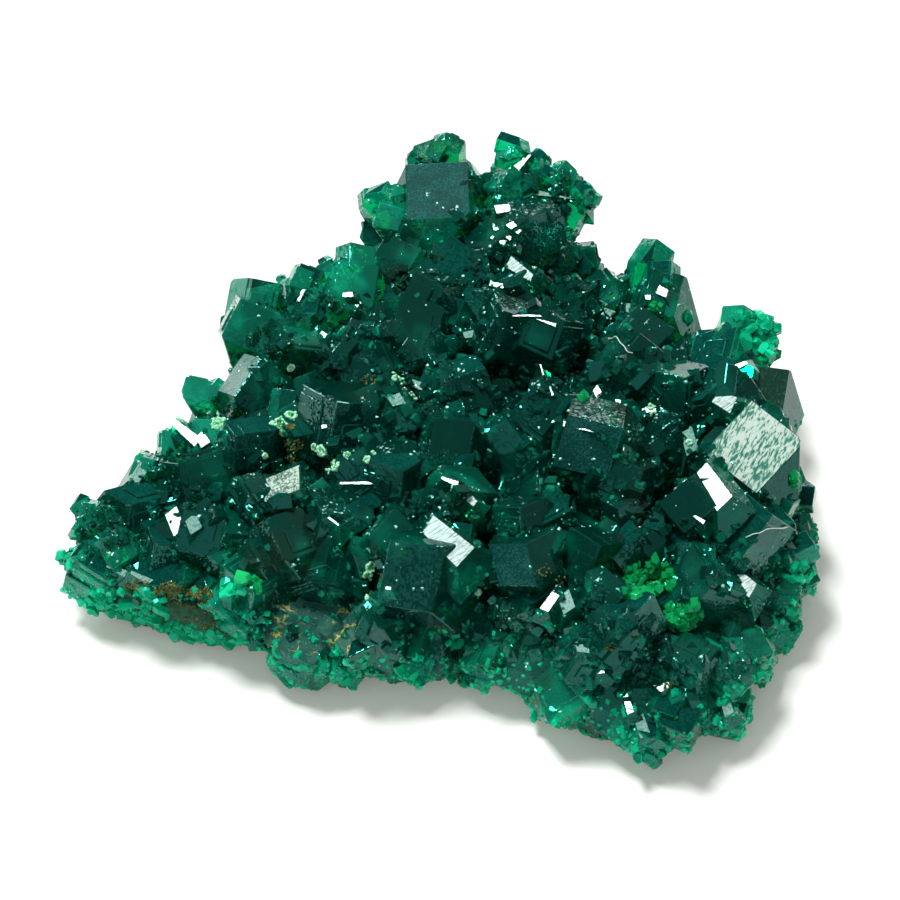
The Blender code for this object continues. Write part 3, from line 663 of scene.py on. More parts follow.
def add_node(tree, kind, x, y, **values):
    """Add a node at a place in the tree, with its plain properties set."""
    node = tree.nodes.new(kind)
    node.location = (x, y)
    for name, value in values.items():
        setattr(node, name, value)
    return node


def feed(tree, node, **sockets):
    """Set or link a node's inputs, by their names with underscores for spaces."""
    for name, value in sockets.items():
        socket = node.inputs[name.replace("_", " ")]
        if isinstance(value, bpy.types.NodeSocket):
            tree.links.new(value, socket)
        else:
            socket.default_value = value


def add_math(tree, operation, x, y, first, second=0.5, clamp=False):
    """A Math node whose two inputs are values or sockets."""
    node = add_node(tree, "ShaderNodeMath", x, y, operation=operation, use_clamp=clamp)
    for socket, value in zip(node.inputs, (first, second)):
        if isinstance(value, bpy.types.NodeSocket):
            tree.links.new(value, socket)
        else:
            socket.default_value = value
    return node.outputs[0]


def add_ramp(tree, x, y, factor, low, high):
    """A smooth mask that rises from 0 to 1 while the factor goes from low to high."""
    node = add_node(tree, "ShaderNodeMapRange", x, y, interpolation_type='SMOOTHSTEP')
    feed(tree, node, Value=factor, From_Min=low, From_Max=high)
    return node.outputs["Result"]


def add_mix(tree, x, y, factor, first, second):
    """A colour mix of values or sockets."""
    node = add_node(tree, "ShaderNodeMix", x, y, data_type='RGBA')
    for identifier, value in (("Factor_Float", factor), ("A_Color", first), ("B_Color", second)):
        socket = next(item for item in node.inputs if item.identifier == identifier)
        if isinstance(value, bpy.types.NodeSocket):
            tree.links.new(value, socket)
        else:
            socket.default_value = value
    return next(item for item in node.outputs if item.identifier == "Result_Color")


def add_noise(tree, x, y, vector, scale, detail=2.0, roughness=0.5):
    node = add_node(tree, "ShaderNodeTexNoise", x, y)
    feed(tree, node, Vector=vector, Scale=scale, Detail=detail, Roughness=roughness)
    return node.outputs["Fac"]


def shared_group(name, inputs, outputs, normal=None):
    """An empty shader node group with float inputs, their defaults, float outputs and perhaps a normal."""
    tree = bpy.data.node_groups.new(name, "ShaderNodeTree")
    if normal:
        tree.interface.new_socket(name=normal, in_out='OUTPUT', socket_type='NodeSocketVector')
    tree.interface.new_socket(name="Vector", in_out='INPUT', socket_type='NodeSocketVector')
    for label, default in inputs:
        socket = tree.interface.new_socket(name=label, in_out='INPUT', socket_type='NodeSocketFloat')
        socket.default_value = default
    for label in outputs:
        tree.interface.new_socket(name=label, in_out='OUTPUT', socket_type='NodeSocketFloat')
    start = add_node(tree, "NodeGroupInput", -1200, 0)
    end = add_node(tree, "NodeGroupOutput", 900, 0)
    return tree, start, end


# Tiny facets of a crystal's skin: how many stand on a metre, and the noise between none and all.
FACET_SCALE = 6000.0
FACET_SHARE = (0.42, 0.66)


def crystal_skin_group():
    """Fine growth relief and dull spots that every dioptase face has, and paler patches of painted glow, standing in
    for light inside the crystal.
    """
    if "crystal_skin" in bpy.data.node_groups:
        return bpy.data.node_groups["crystal_skin"]
    tree, start, end = shared_group("crystal_skin", (("Grain", 1.0), ("Sparkle", 1.0)),
                                    ("Patch", "Stain", "Dull", "Height"), "Facets")
    vector = start.outputs["Vector"]
    grain = start.outputs["Grain"]
    # Noise for the paler patches of painted glow.
    patch = add_noise(tree, -900, 300, vector, 260.0, 2.0, 0.6)
    stain = add_noise(tree, -900, 500, vector, 120.0, 2.0, 0.65)
    fine = add_noise(tree, -900, 60, vector, 1500.0, 2.0, 0.6)
    broad = add_noise(tree, -900, -460, vector, 520.0, 0.0, 0.5)
    relief = add_math(tree, 'MULTIPLY', -400, 0, fine, grain)
    swell = add_math(tree, 'MULTIPLY', -400, -360, broad, 1.6)
    height = add_math(tree, 'ADD', -180, -60, relief, swell)
    cells = add_node(tree, "ShaderNodeTexVoronoi", -900, -700, feature='F1')
    feed(tree, cells, Vector=vector, Scale=FACET_SCALE)
    where = add_ramp(tree, -640, -900, add_noise(tree, -900, -900, vector, 330.0, 1.0, 0.6), *FACET_SHARE)
    tilt = add_math(tree, 'MULTIPLY', -400, -900, where, start.outputs["Sparkle"])
    centred = add_node(tree, "ShaderNodeVectorMath", -640, -700, operation='SUBTRACT')
    tree.links.new(cells.outputs["Color"], centred.inputs[0])
    centred.inputs[1].default_value = (0.5, 0.5, 0.5)
    scaled = add_node(tree, "ShaderNodeVectorMath", -200, -700, operation='SCALE')
    tree.links.new(centred.outputs["Vector"], scaled.inputs[0])
    tree.links.new(tilt, scaled.inputs["Scale"])
    geometry = add_node(tree, "ShaderNodeNewGeometry", -200, -900)
    tilted = add_node(tree, "ShaderNodeVectorMath", 0, -700, operation='ADD')
    tree.links.new(scaled.outputs["Vector"], tilted.inputs[0])
    tree.links.new(geometry.outputs["Normal"], tilted.inputs[1])
    facets = add_node(tree, "ShaderNodeVectorMath", 200, -700, operation='NORMALIZE')
    tree.links.new(tilted.outputs["Vector"], facets.inputs[0])
    tree.links.new(facets.outputs["Vector"], end.inputs["Facets"])
    feed(tree, end, Patch=add_ramp(tree, -180, 300, patch, 0.45, 0.68), Height=height,
         Stain=add_ramp(tree, -180, 500, stain, 0.58, 0.7),
         Dull=add_ramp(tree, -180, 140, fine, 0.5, 0.72))
    return tree


def streak_group():
    """Broken streaks and pits of a face that is etched dull, along the first axis of the vector."""
    if "etched_streaks" in bpy.data.node_groups:
        return bpy.data.node_groups["etched_streaks"]
    tree, start, end = shared_group("etched_streaks", (("Cover", 0.5),), ("Streak", "Height"))
    vector = start.outputs["Vector"]
    streak = add_noise(tree, -720, 120, vector, 5200.0, 3.0, 0.62)
    speck = add_noise(tree, -720, -120, vector, 9500.0, 2.0, 0.6)
    broad = add_noise(tree, -720, -400, vector, 700.0, 1.0, 0.5)
    both = add_math(tree, 'ADD', -480, 0, add_math(tree, 'MULTIPLY', -600, 120, streak, 0.65),
                    add_math(tree, 'MULTIPLY', -600, -120, speck, 0.35))
    edge = add_math(tree, 'SUBTRACT', -480, -260, 0.72, add_math(tree, 'MULTIPLY', -600, -260,
                                                                  start.outputs["Cover"], 0.4))
    above = add_math(tree, 'SUBTRACT', -300, -100, both, edge)
    drift = add_math(tree, 'MULTIPLY_ADD', -200, -300, broad, 0.3)
    drift.node.inputs[2].default_value = -0.15
    varied = add_math(tree, 'ADD', -140, -100, above, drift)
    feed(tree, end, Streak=add_ramp(tree, 0, 0, varied, -0.05, 0.06), Height=both)
    return tree


def new_material(name):
    """A node material with an empty tree, an output and Object coordinates."""
    material = bpy.data.materials.new(name)
    material.use_nodes = True
    tree = material.node_tree
    tree.nodes.clear()
    output = add_node(tree, "ShaderNodeOutputMaterial", 700, 0)
    coordinates = add_node(tree, "ShaderNodeTexCoord", -1500, 0)
    return material, tree, output, coordinates.outputs["Object"]


def add_group(tree, group, x, y, **sockets):
    node = add_node(tree, "ShaderNodeGroup", x, y, node_tree=group)
    feed(tree, node, **sockets)
    return node


def add_bump(tree, x, y, height, strength, distance, normal=None):
    node = add_node(tree, "ShaderNodeBump", x, y)
    feed(tree, node, Height=height, Strength=strength, Distance=distance)
    if normal:
        feed(tree, node, Normal=normal)
    return node.outputs["Normal"]


def dioptase_material(name, deep, light, transmission, absorption, density, smooth, grain=1.0, stain=0.5,
                      sparkle=0.36, sheen=(0.14, 0.88, 0.78, 1.0), shine=0.12):
    """Clear green crystal: two body colours mixed by each crystal's tint and by paler patches of painted glow, fine
    relief and absorption inside.
    """
    material, tree, output, place = new_material(name)
    skin = add_group(tree, crystal_skin_group(), -1200, 0, Vector=place, Grain=grain, Sparkle=sparkle)
    tint = add_node(tree, "ShaderNodeAttribute", -1200, 300, attribute_name="tint")
    # Painted glow: the tint, lighter at the edge and low down, and the paler patches lift the green towards the
    # light colour, for light inside and through the crystal.
    mixed = add_math(tree, 'ADD', -700, 200, add_math(tree, 'MULTIPLY', -900, 300, tint.outputs["Fac"], 0.75),
                     add_math(tree, 'MULTIPLY', -900, 140, skin.outputs["Patch"], 0.42), clamp=True)
    share = add_math(tree, 'POWER', -560, 200, mixed, 2.5)
    rust = add_math(tree, 'MULTIPLY', -560, 400, skin.outputs["Stain"], stain)
    clear = add_mix(tree, -300, 200, share, (*deep, 1.0), (*light, 1.0))
    shader = add_node(tree, "ShaderNodeBsdfPrincipled", 300, 0)
    roughness = add_math(tree, 'MULTIPLY_ADD', -300, -100, skin.outputs["Dull"], 0.16)
    roughness.node.inputs[2].default_value = smooth
    feed(tree, shader, Base_Color=add_mix(tree, 0, 200, rust, clear, (0.05, 0.07, 0.03, 1.0)),
         Roughness=roughness, Metallic=0.0, IOR=1.66, Transmission_Weight=transmission,
         Specular_IOR_Level=shine, Specular_Tint=sheen,
         Normal=add_bump(tree, 0, -300, skin.outputs["Height"], 0.25, 0.00004, skin.outputs["Facets"]))
    inside = add_node(tree, "ShaderNodeVolumeAbsorption", 300, -400)
    feed(tree, inside, Color=(*absorption, 1.0), Density=density)
    tree.links.new(shader.outputs["BSDF"], output.inputs["Surface"])
    tree.links.new(inside.outputs["Volume"], output.inputs["Volume"])
    material.diffuse_color = (*light, 1.0)
    return material


def etched_material(name, clear, frost, cover, along, stretch=0.75, shine=0.2, roughness=0.42):
    """A dull, pale face of a crystal, with streaks along a direction and the green showing between."""
    material, tree, output, place = new_material(name)
    part = add_node(tree, "ShaderNodeVectorMath", -1450, -200, operation='PROJECT')
    tree.links.new(place, part.inputs[0])
    part.inputs[1].default_value = along
    less = add_node(tree, "ShaderNodeVectorMath", -1300, -200, operation='SCALE')
    tree.links.new(part.outputs["Vector"], less.inputs[0])
    less.inputs["Scale"].default_value = -stretch
    pressed = add_node(tree, "ShaderNodeVectorMath", -1150, 0, operation='ADD')
    tree.links.new(place, pressed.inputs[0])
    tree.links.new(less.outputs["Vector"], pressed.inputs[1])
    streaks = add_group(tree, streak_group(), -1000, 0, Vector=pressed.outputs["Vector"], Cover=cover)
    shader = add_node(tree, "ShaderNodeBsdfPrincipled", 300, 0)
    rough = add_math(tree, 'MULTIPLY_ADD', -300, -100, streaks.outputs["Streak"], roughness - 0.12)
    rough.node.inputs[2].default_value = 0.12
    feed(tree, shader, Base_Color=add_mix(tree, -300, 200, streaks.outputs["Streak"], (*clear, 1.0), (*frost, 1.0)),
         Roughness=rough, Metallic=0.0, IOR=1.66, Specular_IOR_Level=shine,
         Normal=add_bump(tree, 0, -300, streaks.outputs["Height"], 0.5, 0.00012))
    tree.links.new(shader.outputs["BSDF"], output.inputs["Surface"])
    material.diffuse_color = (*frost, 1.0)
    return material


def veined_material():
    """A massive grey-green face with blotches and fine yellow veins."""
    material, tree, output, place = new_material("veined_face")
    blotch = add_noise(tree, -1200, 300, place, 420.0, 3.0, 0.6)
    grain = add_noise(tree, -1200, 0, place, 3800.0, 2.0, 0.6)
    bend = add_noise(tree, -1200, -300, place, 330.0, 4.0, 0.62)
    middle = add_math(tree, 'ABSOLUTE', -850, -300, add_math(tree, 'SUBTRACT', -1000, -300, bend, 0.52))
    vein = add_math(tree, 'SUBTRACT', -550, -300, 1.0, add_ramp(tree, -700, -300, middle, 0.004, 0.02))
    broken = add_math(tree, 'MULTIPLY', -400, -300, vein, add_ramp(tree, -700, -500, blotch, 0.42, 0.56))
    body = add_mix(tree, -500, 200, add_ramp(tree, -900, 300, blotch, 0.36, 0.66), (0.01, 0.07, 0.055, 1.0),
                   (0.03, 0.12, 0.09, 1.0))
    grained = add_mix(tree, -300, 200, add_ramp(tree, -900, 0, grain, 0.55, 0.75), body, (0.06, 0.2, 0.15, 1.0))
    shader = add_node(tree, "ShaderNodeBsdfPrincipled", 300, 0)
    feed(tree, shader, Base_Color=add_mix(tree, 0, 200, broken, grained, (0.42, 0.4, 0.08, 1.0)),
         Roughness=0.5, Metallic=0.0, IOR=1.6, Specular_IOR_Level=0.05, Normal=add_bump(tree, 0, -300, grain, 0.4, 0.00008))
    tree.links.new(shader.outputs["BSDF"], output.inputs["Surface"])
    material.diffuse_color = (0.05, 0.18, 0.12, 1.0)
    return material


def mineral_material(name, colours, scale, roughness, bump):
    """An opaque mineral: three colours in blotches and grains, with a rough grainy skin."""
    material, tree, output, place = new_material(name)
    blotch = add_noise(tree, -1200, 300, place, scale, 3.0, 0.6)
    grain = add_noise(tree, -1200, 0, place, scale * 6.0, 4.0, 0.65)
    pocket = add_node(tree, "ShaderNodeTexVoronoi", -1200, -300, feature='F1')
    feed(tree, pocket, Vector=place, Scale=scale * 4.0)
    low = add_mix(tree, -700, 200, add_ramp(tree, -950, 300, blotch, 0.4, 0.62), (*colours[0], 1.0),
                  (*colours[1], 1.0))
    top = add_mix(tree, -400, 200, add_ramp(tree, -950, 0, grain, 0.5, 0.68), low, (*colours[2], 1.0))
    height = add_math(tree, 'ADD', -700, -200, grain, add_math(tree, 'MULTIPLY', -950, -300,
                                                               pocket.outputs["Distance"], 0.6))
    shader = add_node(tree, "ShaderNodeBsdfPrincipled", 300, 0)
    dull = add_math(tree, 'MULTIPLY_ADD', -400, -50, grain, 0.3)
    dull.node.inputs[2].default_value = roughness - 0.15
    feed(tree, shader, Base_Color=top, Roughness=dull, Metallic=0.0, Specular_IOR_Level=0.1,
         Normal=add_bump(tree, 0, -300, height, 0.6, bump))
    tree.links.new(shader.outputs["BSDF"], output.inputs["Surface"])
    material.diffuse_color = (*colours[0], 1.0)
    return material


def scatter_tree(name):
    """Geometry nodes that set small shapes on marked points, turned to face outwards.

    The points carry `facing`, `spin` and `size`; `tint` is drawn for each shape and kept for its material.
    """
    tree = bpy.data.node_groups.new(name, "GeometryNodeTree")
    for label, kind in (("Points", 'NodeSocketGeometry'), ("Shapes", 'NodeSocketCollection'),
                        ("Size", 'NodeSocketFloat'), ("Least Tint", 'NodeSocketFloat'),
                        ("Seed", 'NodeSocketInt'), ("Material", 'NodeSocketMaterial')):
        tree.interface.new_socket(name=label, in_out='INPUT', socket_type=kind)
    tree.interface.new_socket(name="Shapes", in_out='OUTPUT', socket_type='NodeSocketGeometry')
    start = add_node(tree, "NodeGroupInput", -900, 0)
    end = add_node(tree, "NodeGroupOutput", 1000, 0)

    def stored(label, kind, y):
        node = add_node(tree, "GeometryNodeInputNamedAttribute", -900, y, data_type=kind)
        feed(tree, node, Name=label)
        return node.outputs["Attribute"]

    shapes = add_node(tree, "GeometryNodeCollectionInfo", -600, 200)
    feed(tree, shapes, Collection=start.outputs["Shapes"], Separate_Children=True, Reset_Children=True)
    choice = add_node(tree, "FunctionNodeRandomValue", -600, -100, data_type='INT')
    for socket in choice.inputs:
        if socket.identifier == "Max_001" or socket.identifier == "Max_002":
            socket.default_value = 100
    feed(tree, choice, Seed=start.outputs["Seed"])
    pick = next(socket for socket in choice.outputs if socket.identifier == "Value_002")
    face = add_node(tree, "FunctionNodeAlignRotationToVector", -600, -350, axis='Z')
    feed(tree, face, Vector=stored("facing", 'FLOAT_VECTOR', -350))
    spin = add_node(tree, "FunctionNodeAxisAngleToRotation", -600, -550)
    feed(tree, spin, Axis=(0.0, 0.0, 1.0), Angle=stored("spin", 'FLOAT', -550))
    turn = add_node(tree, "FunctionNodeRotateRotation", -350, -400, rotation_space='LOCAL')
    feed(tree, turn, Rotation=face.outputs["Rotation"], Rotate_By=spin.outputs["Rotation"])
    size = add_math(tree, 'MULTIPLY', -350, -650, stored("size", 'FLOAT', -750), start.outputs["Size"])
    place = add_node(tree, "GeometryNodeInstanceOnPoints", -100, 0)
    feed(tree, place, Points=start.outputs["Points"], Instance=shapes.outputs["Instances"], Pick_Instance=True,
         Instance_Index=pick, Rotation=turn.outputs["Rotation"], Scale=size)
    tint = add_node(tree, "FunctionNodeRandomValue", 100, -300, data_type='FLOAT')
    for socket in tint.inputs:
        if socket.identifier == "Min_001":
            tree.links.new(start.outputs["Least Tint"], socket)
    feed(tree, tint, Seed=start.outputs["Seed"])
    drawn = next(socket for socket in tint.outputs if socket.identifier == "Value_001")
    keep = add_node(tree, "GeometryNodeStoreNamedAttribute", 300, 0, data_type='FLOAT', domain='INSTANCE')
    feed(tree, keep, Geometry=place.outputs["Instances"], Name="tint")
    value = next(socket for socket in keep.inputs if socket.name == "Value" and socket.enabled)
    tree.links.new(drawn, value)
    real = add_node(tree, "GeometryNodeRealizeInstances", 500, 0)
    feed(tree, real, Geometry=keep.outputs["Geometry"])
    coat = add_node(tree, "GeometryNodeSetMaterial", 700, 0)
    feed(tree, coat, Geometry=real.outputs["Geometry"], Material=start.outputs["Material"])
    tree.links.new(coat.outputs["Geometry"], end.inputs["Shapes"])
    return tree


def scatter(name, spots, shapes, material, seed, least_tint=0.0, size=1.0):
    """One plain mesh of small shapes on spots of (point, facing, spin, size in mm)."""
    points = bpy.data.meshes.new(name + "_points")
    points.from_pydata([spot[0] for spot in spots], [], [])
    for label, kind, key, values in (
            ("facing", 'FLOAT_VECTOR', "vector", [part for spot in spots for part in spot[1]]),
            ("spin", 'FLOAT', "value", [spot[2] for spot in spots]),
            ("size", 'FLOAT', "value", [spot[3] * MM for spot in spots])):
        points.attributes.new(label, kind, 'POINT').data.foreach_set(key, values)
    kinds = bpy.data.collections.new(name + "_shapes")
    for number, shape in enumerate(shapes):
        kinds.objects.link(bpy.data.objects.new(f"{name}_shape_{number}", shape))
    piece = mesh_piece(name, points)
    step = piece.modifiers.new("scatter", 'NODES')
    tree = bpy.data.node_groups.get("scatter_shapes") or scatter_tree("scatter_shapes")
    step.node_group = tree
    values = {"Shapes": kinds, "Size": size, "Least Tint": least_tint, "Seed": seed, "Material": material}
    for socket in tree.interface.items_tree:
        if socket.item_type == 'SOCKET' and socket.in_out == 'INPUT' and socket.name in values:
            step[socket.identifier] = values[socket.name]
    graph = bpy.context.evaluated_depsgraph_get()
    made = bpy.data.meshes.new_from_object(piece.evaluated_get(graph))
    piece.modifiers.remove(step)
    piece.data = made
    made.name = name
    for item in list(kinds.objects):
        bpy.data.objects.remove(item, do_unlink=True)
    bpy.data.collections.remove(kinds)
    if not made.polygons:
        raise RuntimeError(f"{name} has no shapes")
    return piece


def shade(piece, smooth):
    """Smooth or flat shading for every face of a piece."""
    piece.data.polygons.foreach_set("use_smooth", [smooth] * len(piece.data.polygons))


def small_crystal_shapes(seed, bevel, count=4):
    """Small dioptase crystals of apothem 1, upright, with the middle of their tip at the origin."""
    chance = random.Random(seed)
    shapes = []
    for _ in range(count):
        size = 1.0
        axis = (UP + Vector((chance.uniform(-0.3, 0.3), chance.uniform(-0.3, 0.3), 0.0))).normalized()
        growth = (0.0, chance.uniform(-0.3, 0.15), chance.uniform(-0.3, 0.15))
        reach = [size * chance.uniform(0.7, 1.1) for _ in range(6)]
        habit = Habit(Vector((0.0, 0.0, 0.9)), axis, Vector((1.0, 0.0, 0.0)), size, 2.9, growth, reach, 0)
        solid = convex_solid(habit.tip, 12.0, habit.planes())
        if bevel:
            bmesh.ops.bevel(solid, geom=list(solid.edges), offset=bevel, segments=1, affect='EDGES')
        bmesh.ops.triangulate(solid, faces=list(solid.faces))
        shapes.append(mesh_of(solid, "small_crystal"))
    return shapes


def knob_shapes(seed, count=3, rounds=2, unevenness=0.35):
    """Small lumpy knobs of radius 1."""
    chance = random.Random(seed)
    shapes = []
    for _ in range(count):
        solid = bmesh.new()
        bmesh.ops.create_icosphere(solid, subdivisions=rounds, radius=1.0)
        offset = Vector([chance.uniform(0.0, 50.0) for _ in range(3)])
        for vert in solid.verts:
            vert.co *= 1.0 + unevenness * noise.noise(vert.co * 1.7 + offset)
        shapes.append(mesh_of(solid, "knob"))
    return shapes


# ---------------------------------------------------------------------------------------------------------
# The pieces.
# ---------------------------------------------------------------------------------------------------------

# Painted glow: share of the plan from which the green is painted lighter, for light shining through the thin
# edge, and the height in mm below which it is, for light from the floor below.
EDGE_GLOW_FROM = 0.76
LOW_GLOW_BELOW = 6.0

SURFACES = {}


def surface_of(name):
    """The finished piece's surface, for others to stand on."""
    if name not in SURFACES:
        SURFACES[name] = Surface(bpy.data.objects[name].data)
    return SURFACES[name]


def keep_largest_body(mesh):
    """Drop loose crumbs and closed pockets, to leave one skin."""
    solid = bmesh.new()
    solid.from_mesh(mesh)
    unseen = set(solid.verts)
    bodies = []
    while unseen:
        stack = [unseen.pop()]
        body = set(stack)
        while stack:
            for edge in stack.pop().link_edges:
                for vert in edge.verts:
                    if vert in unseen:
                        unseen.discard(vert)
                        body.add(vert)
                        stack.append(vert)
        bodies.append(body)
    bodies.sort(key=len)
    for body in bodies[:-1]:
        bmesh.ops.delete(solid, geom=list(body), context='VERTS')
    solid.to_mesh(mesh)
    solid.free()


def hollow_crystals(surface, sizes, chance):
    """Middling crystals that fill the hollows between the large ones."""
    found = []
    kept = []
    for point, normal in surface.spots(sizes.hollow_tries, chance):
        if len(found) >= sizes.hollow_count:
            break
        if point.z < 2.0 * MM or normal.z < -0.3:
            continue
        if surface.openness(point, normal, 4.5 * MM, chance) > 0.62:
            continue
        apothem = chance.uniform(0.45, 1.25)
        spot = point / MM - PLAN_SHIFT
        if any((spot - other).length < 0.75 * (apothem + size) for other, size in kept[-400:]):
            continue
        wander = Vector([chance.gauss(0.0, 0.33) for _ in range(3)])
        axis = (normal * 0.7 + UP * 0.55 + wander).normalized()
        tip = spot + axis * apothem * chance.uniform(0.5, 1.1)
        growth = (0.0, chance.uniform(-0.2, 0.1) * apothem, chance.uniform(-0.2, 0.1) * apothem)
        reach = [apothem * chance.uniform(0.8, 1.08) for _ in range(6)]
        found.append(Habit(tip, axis, twisted_flat(axis, chance.uniform(0.0, 120.0)), apothem,
                           apothem * 2.4 + 0.6, growth, reach, 0))
        kept.append((spot, apothem))
    return found


def tint_with_painted_glow(plan, chance):
    """How light a crystal's green is: drawn at random for each crystal, and painted lighter towards the plate's edge
    and low down, as glow of light shining through.
    """
    # Painted glow: crystals at the edge and low down get a lighter green, standing in for light shining through
    # them.
    edge = min(1.0, max(0.0, (plan_share(plan.x, plan.y) - EDGE_GLOW_FROM) / (1.0 - EDGE_GLOW_FROM)))
    low = min(1.0, max(0.0, (LOW_GLOW_BELOW - plan.z) / LOW_GLOW_BELOW))
    return min(1.15, 0.6 * chance.random() ** 2.5 + 0.7 * edge + 0.55 * low)


# Small faces that stand out among the crystals: x and y on the sight line at SIGHT_LEVEL, half length and
# half width in mm, turn in degrees, and kind: 1 mirrors the main light, 2 is striated and 3 is pale,
# painted pale partly for light reflected in it.
SMALL_FACES = (
    (-20.1, -1.7, 1.3, 0.35, -30, 1), (-18.8, -2.4, 0.55, 0.4, -50, 1), (-20.5, -10.6, 0.95, 0.5, -52, 1),
    (-19.1, -10.8, 0.6, 0.5, -50, 3), (0.2, -12.4, 2.0, 0.9, -35, 2), (7.9, -18.3, 0.8, 0.35, 62, 1),
    (9.1, -18.3, 0.7, 0.5, -60, 3), (2.4, -15.1, 0.5, 0.3, -20, 1), (6.3, 28.1, 0.85, 0.4, 62, 1),
    (2.7, 28.8, 0.45, 0.25, 10, 1), (4.8, 22.5, 0.6, 0.35, 15, 1), (5.5, 20.6, 0.3, 0.3, 40, 1),
    (17.6, 13.2, 0.45, 0.35, -25, 1), (16.4, 12.6, 0.22, 0.2, 0, 1), (12.9, 11.3, 0.8, 0.5, -20, 3),
    (14.7, 11.2, 0.25, 0.6, 10, 3), (-7.9, 12.9, 0.5, 0.2, 8, 1), (-7.1, 12.1, 0.3, 0.25, -40, 1),
    (-11.6, 12.8, 0.55, 0.12, 80, 1), (-9.8, 8.7, 0.35, 0.22, -20, 1), (12.0, 2.6, 0.35, 0.28, -50, 1),
    (13.6, 1.6, 0.2, 0.15, 0, 1), (16.0, 0.6, 0.55, 0.2, 15, 1), (21.9, 1.6, 0.9, 0.6, -20, 2),
    (23.5, 5.3, 0.5, 0.2, 28, 1), (27.6, -3.1, 0.45, 0.3, 30, 1), (20.6, -7.1, 1.75, 0.75, -52, 1),
    (22.4, -16.4, 1.0, 0.6, -30, 2), (14.1, -15.8, 0.3, 0.22, 30, 1), (17.0, -14.9, 0.35, 0.18, 0, 1),
    (16.1, -26.1, 0.45, 0.22, 38, 1), (13.3, -27.3, 1.1, 0.22, -66, 1), (14.2, -29.1, 1.2, 0.4, -62, 3),
    (20.5, -27.6, 0.85, 0.35, -62, 3), (10.2, -22.5, 0.45, 0.3, 10, 3), (-23.4, -5.4, 1.2, 0.45, 66, 3),
    (-24.8, -5.2, 0.9, 0.15, 68, 1), (-13.0, 13.4, 0.7, 0.45, -40, 3), (10.9, -1.3, 1.7, 0.07, -10, 1),
    (13.9, -3.1, 0.9, 0.06, -78, 1), (4.2, 14.0, 0.6, 0.2, -8, 1), (6.1, 15.7, 1.2, 0.4, -28, 2),
    (2.1, 8.7, 0.6, 0.28, 22, 3), (-9.3, -1.0, 0.3, 0.14, 20, 1), (-1.9, 3.2, 0.8, 0.3, -15, 3),
    (-3.8, 1.7, 0.5, 0.45, 30, 3), (7.1, 10.7, 1.6, 0.09, 6, 1), (8.1, 9.9, 0.9, 0.07, -15, 1),
    (7.6, 5.3, 0.9, 0.06, -64, 1), (8.4, 2.6, 0.4, 0.06, -60, 1), (-6.7, -6.8, 1.3, 0.1, 10, 1),
    (0.4, -6.6, 0.7, 0.16, -15, 1), (1.9, -8.3, 0.7, 0.3, -35, 2), (9.3, 24.0, 1.8, 0.1, 2, 3),
    (12.6, 22.7, 0.6, 0.5, 50, 3), (-8.7, -10.3, 0.9, 0.08, -35, 1), (19.4, -10.3, 0.5, 0.12, -30, 1),
    (19.0, -2.5, 0.9, 0.5, -60, 3), (26.1, -12.7, 0.9, 0.25, -50, 3), (27.4, -11.3, 0.5, 0.3, -70, 3),
    (1.9, -22.6, 0.35, 0.2, 0, 1), (-4.2, -17.0, 0.2, 0.12, 0, 1), (-14.0, -21.7, 0.3, 0.16, 10, 1),
    (11.4, -24.6, 0.3, 0.2, 20, 1), (2.6, -25.2, 0.3, 0.15, -20, 1), (4.2, 20.3, 0.2, 0.14, 10, 1),
    (5.2, 19.4, 0.26, 0.15, -30, 1), (6.1, 19.9, 0.2, 0.12, 50, 1), (4.7, 18.8, 0.2, 0.15, 20, 1),
    (5.7, 18.5, 0.15, 0.12, -10, 1), (3.9, 19.3, 0.14, 0.1, 60, 1), (-24.6, -15.2, 0.9, 0.22, -12, 3),
    (-22.6, -16.0, 1.1, 0.2, -16, 3),
)
FACE_KINDS = 10
# Slope of their sides, turn from one side to the next, how proud they stand, and wander of the mirroring.
FACE_SLOPE = 0.5
FACE_CORNERS = (0.0, 78.0, 180.0, 258.0)
FACE_PROUD = (0.06, 0.3)
FACE_WANDER = 0.02


def small_face(surface, row, chance):
    """A low crystal with one flat top, as a closed mesh with its face attributes, or None off the plate."""
    x, y, half_length, half_width, turn, kind = row
    point, normal = surface.under_sight(x, y)
    if point is None:
        return None
    towards_light = (KEY_PLACE - point).normalized()
    towards_front = (CAMERA_PLACE - point).normalized()
    wander = Vector([chance.gauss(0.0, FACE_WANDER) for _ in range(3)])
    facing = (towards_light + towards_front).normalized() + wander
    # Pale faces turn away from the main light; their paleness is painted instead, partly as reflection.
    if kind == 3:
        facing = facing + UP * 0.2 - towards_light * 0.35
    facing.normalize()
    across = (Vector((1.0, 0.0, 0.0)) - facing * facing.x).normalized()
    upwards = facing.cross(across)
    top = point + facing * chance.uniform(*FACE_PROUD) * MM
    planes = [(top, facing), (top - facing * (half_length + 0.6) * MM, -facing)]
    for corner, reach in zip(FACE_CORNERS, (half_length, half_width, half_length, half_width)):
        angle = math.radians(turn + corner + chance.uniform(-7.0, 7.0))
        heading = across * math.cos(angle) + upwards * math.sin(angle)
        planes.append((top + heading * reach * MM, (heading + facing * FACE_SLOPE).normalized()))
    solid = convex_solid(top, 12.0 * MM, planes)
    bmesh.ops.triangulate(solid, faces=list(solid.faces))
    solid.normal_update()
    marks = [FACE_KINDS + kind if face.normal.dot(facing) > 0.999 else 0 for face in solid.faces]
    mesh = mesh_of(solid, "small_face")
    give_faces(mesh, "etched", 'INT', marks)
    give_faces(mesh, "tint", 'FLOAT', [0.6] * len(marks))
    return mesh


# The massive, veined face at the front: x and y on the sight line, and radius in mm.
VEINED_PATCH = (-10.0, -20.6, 3.6)

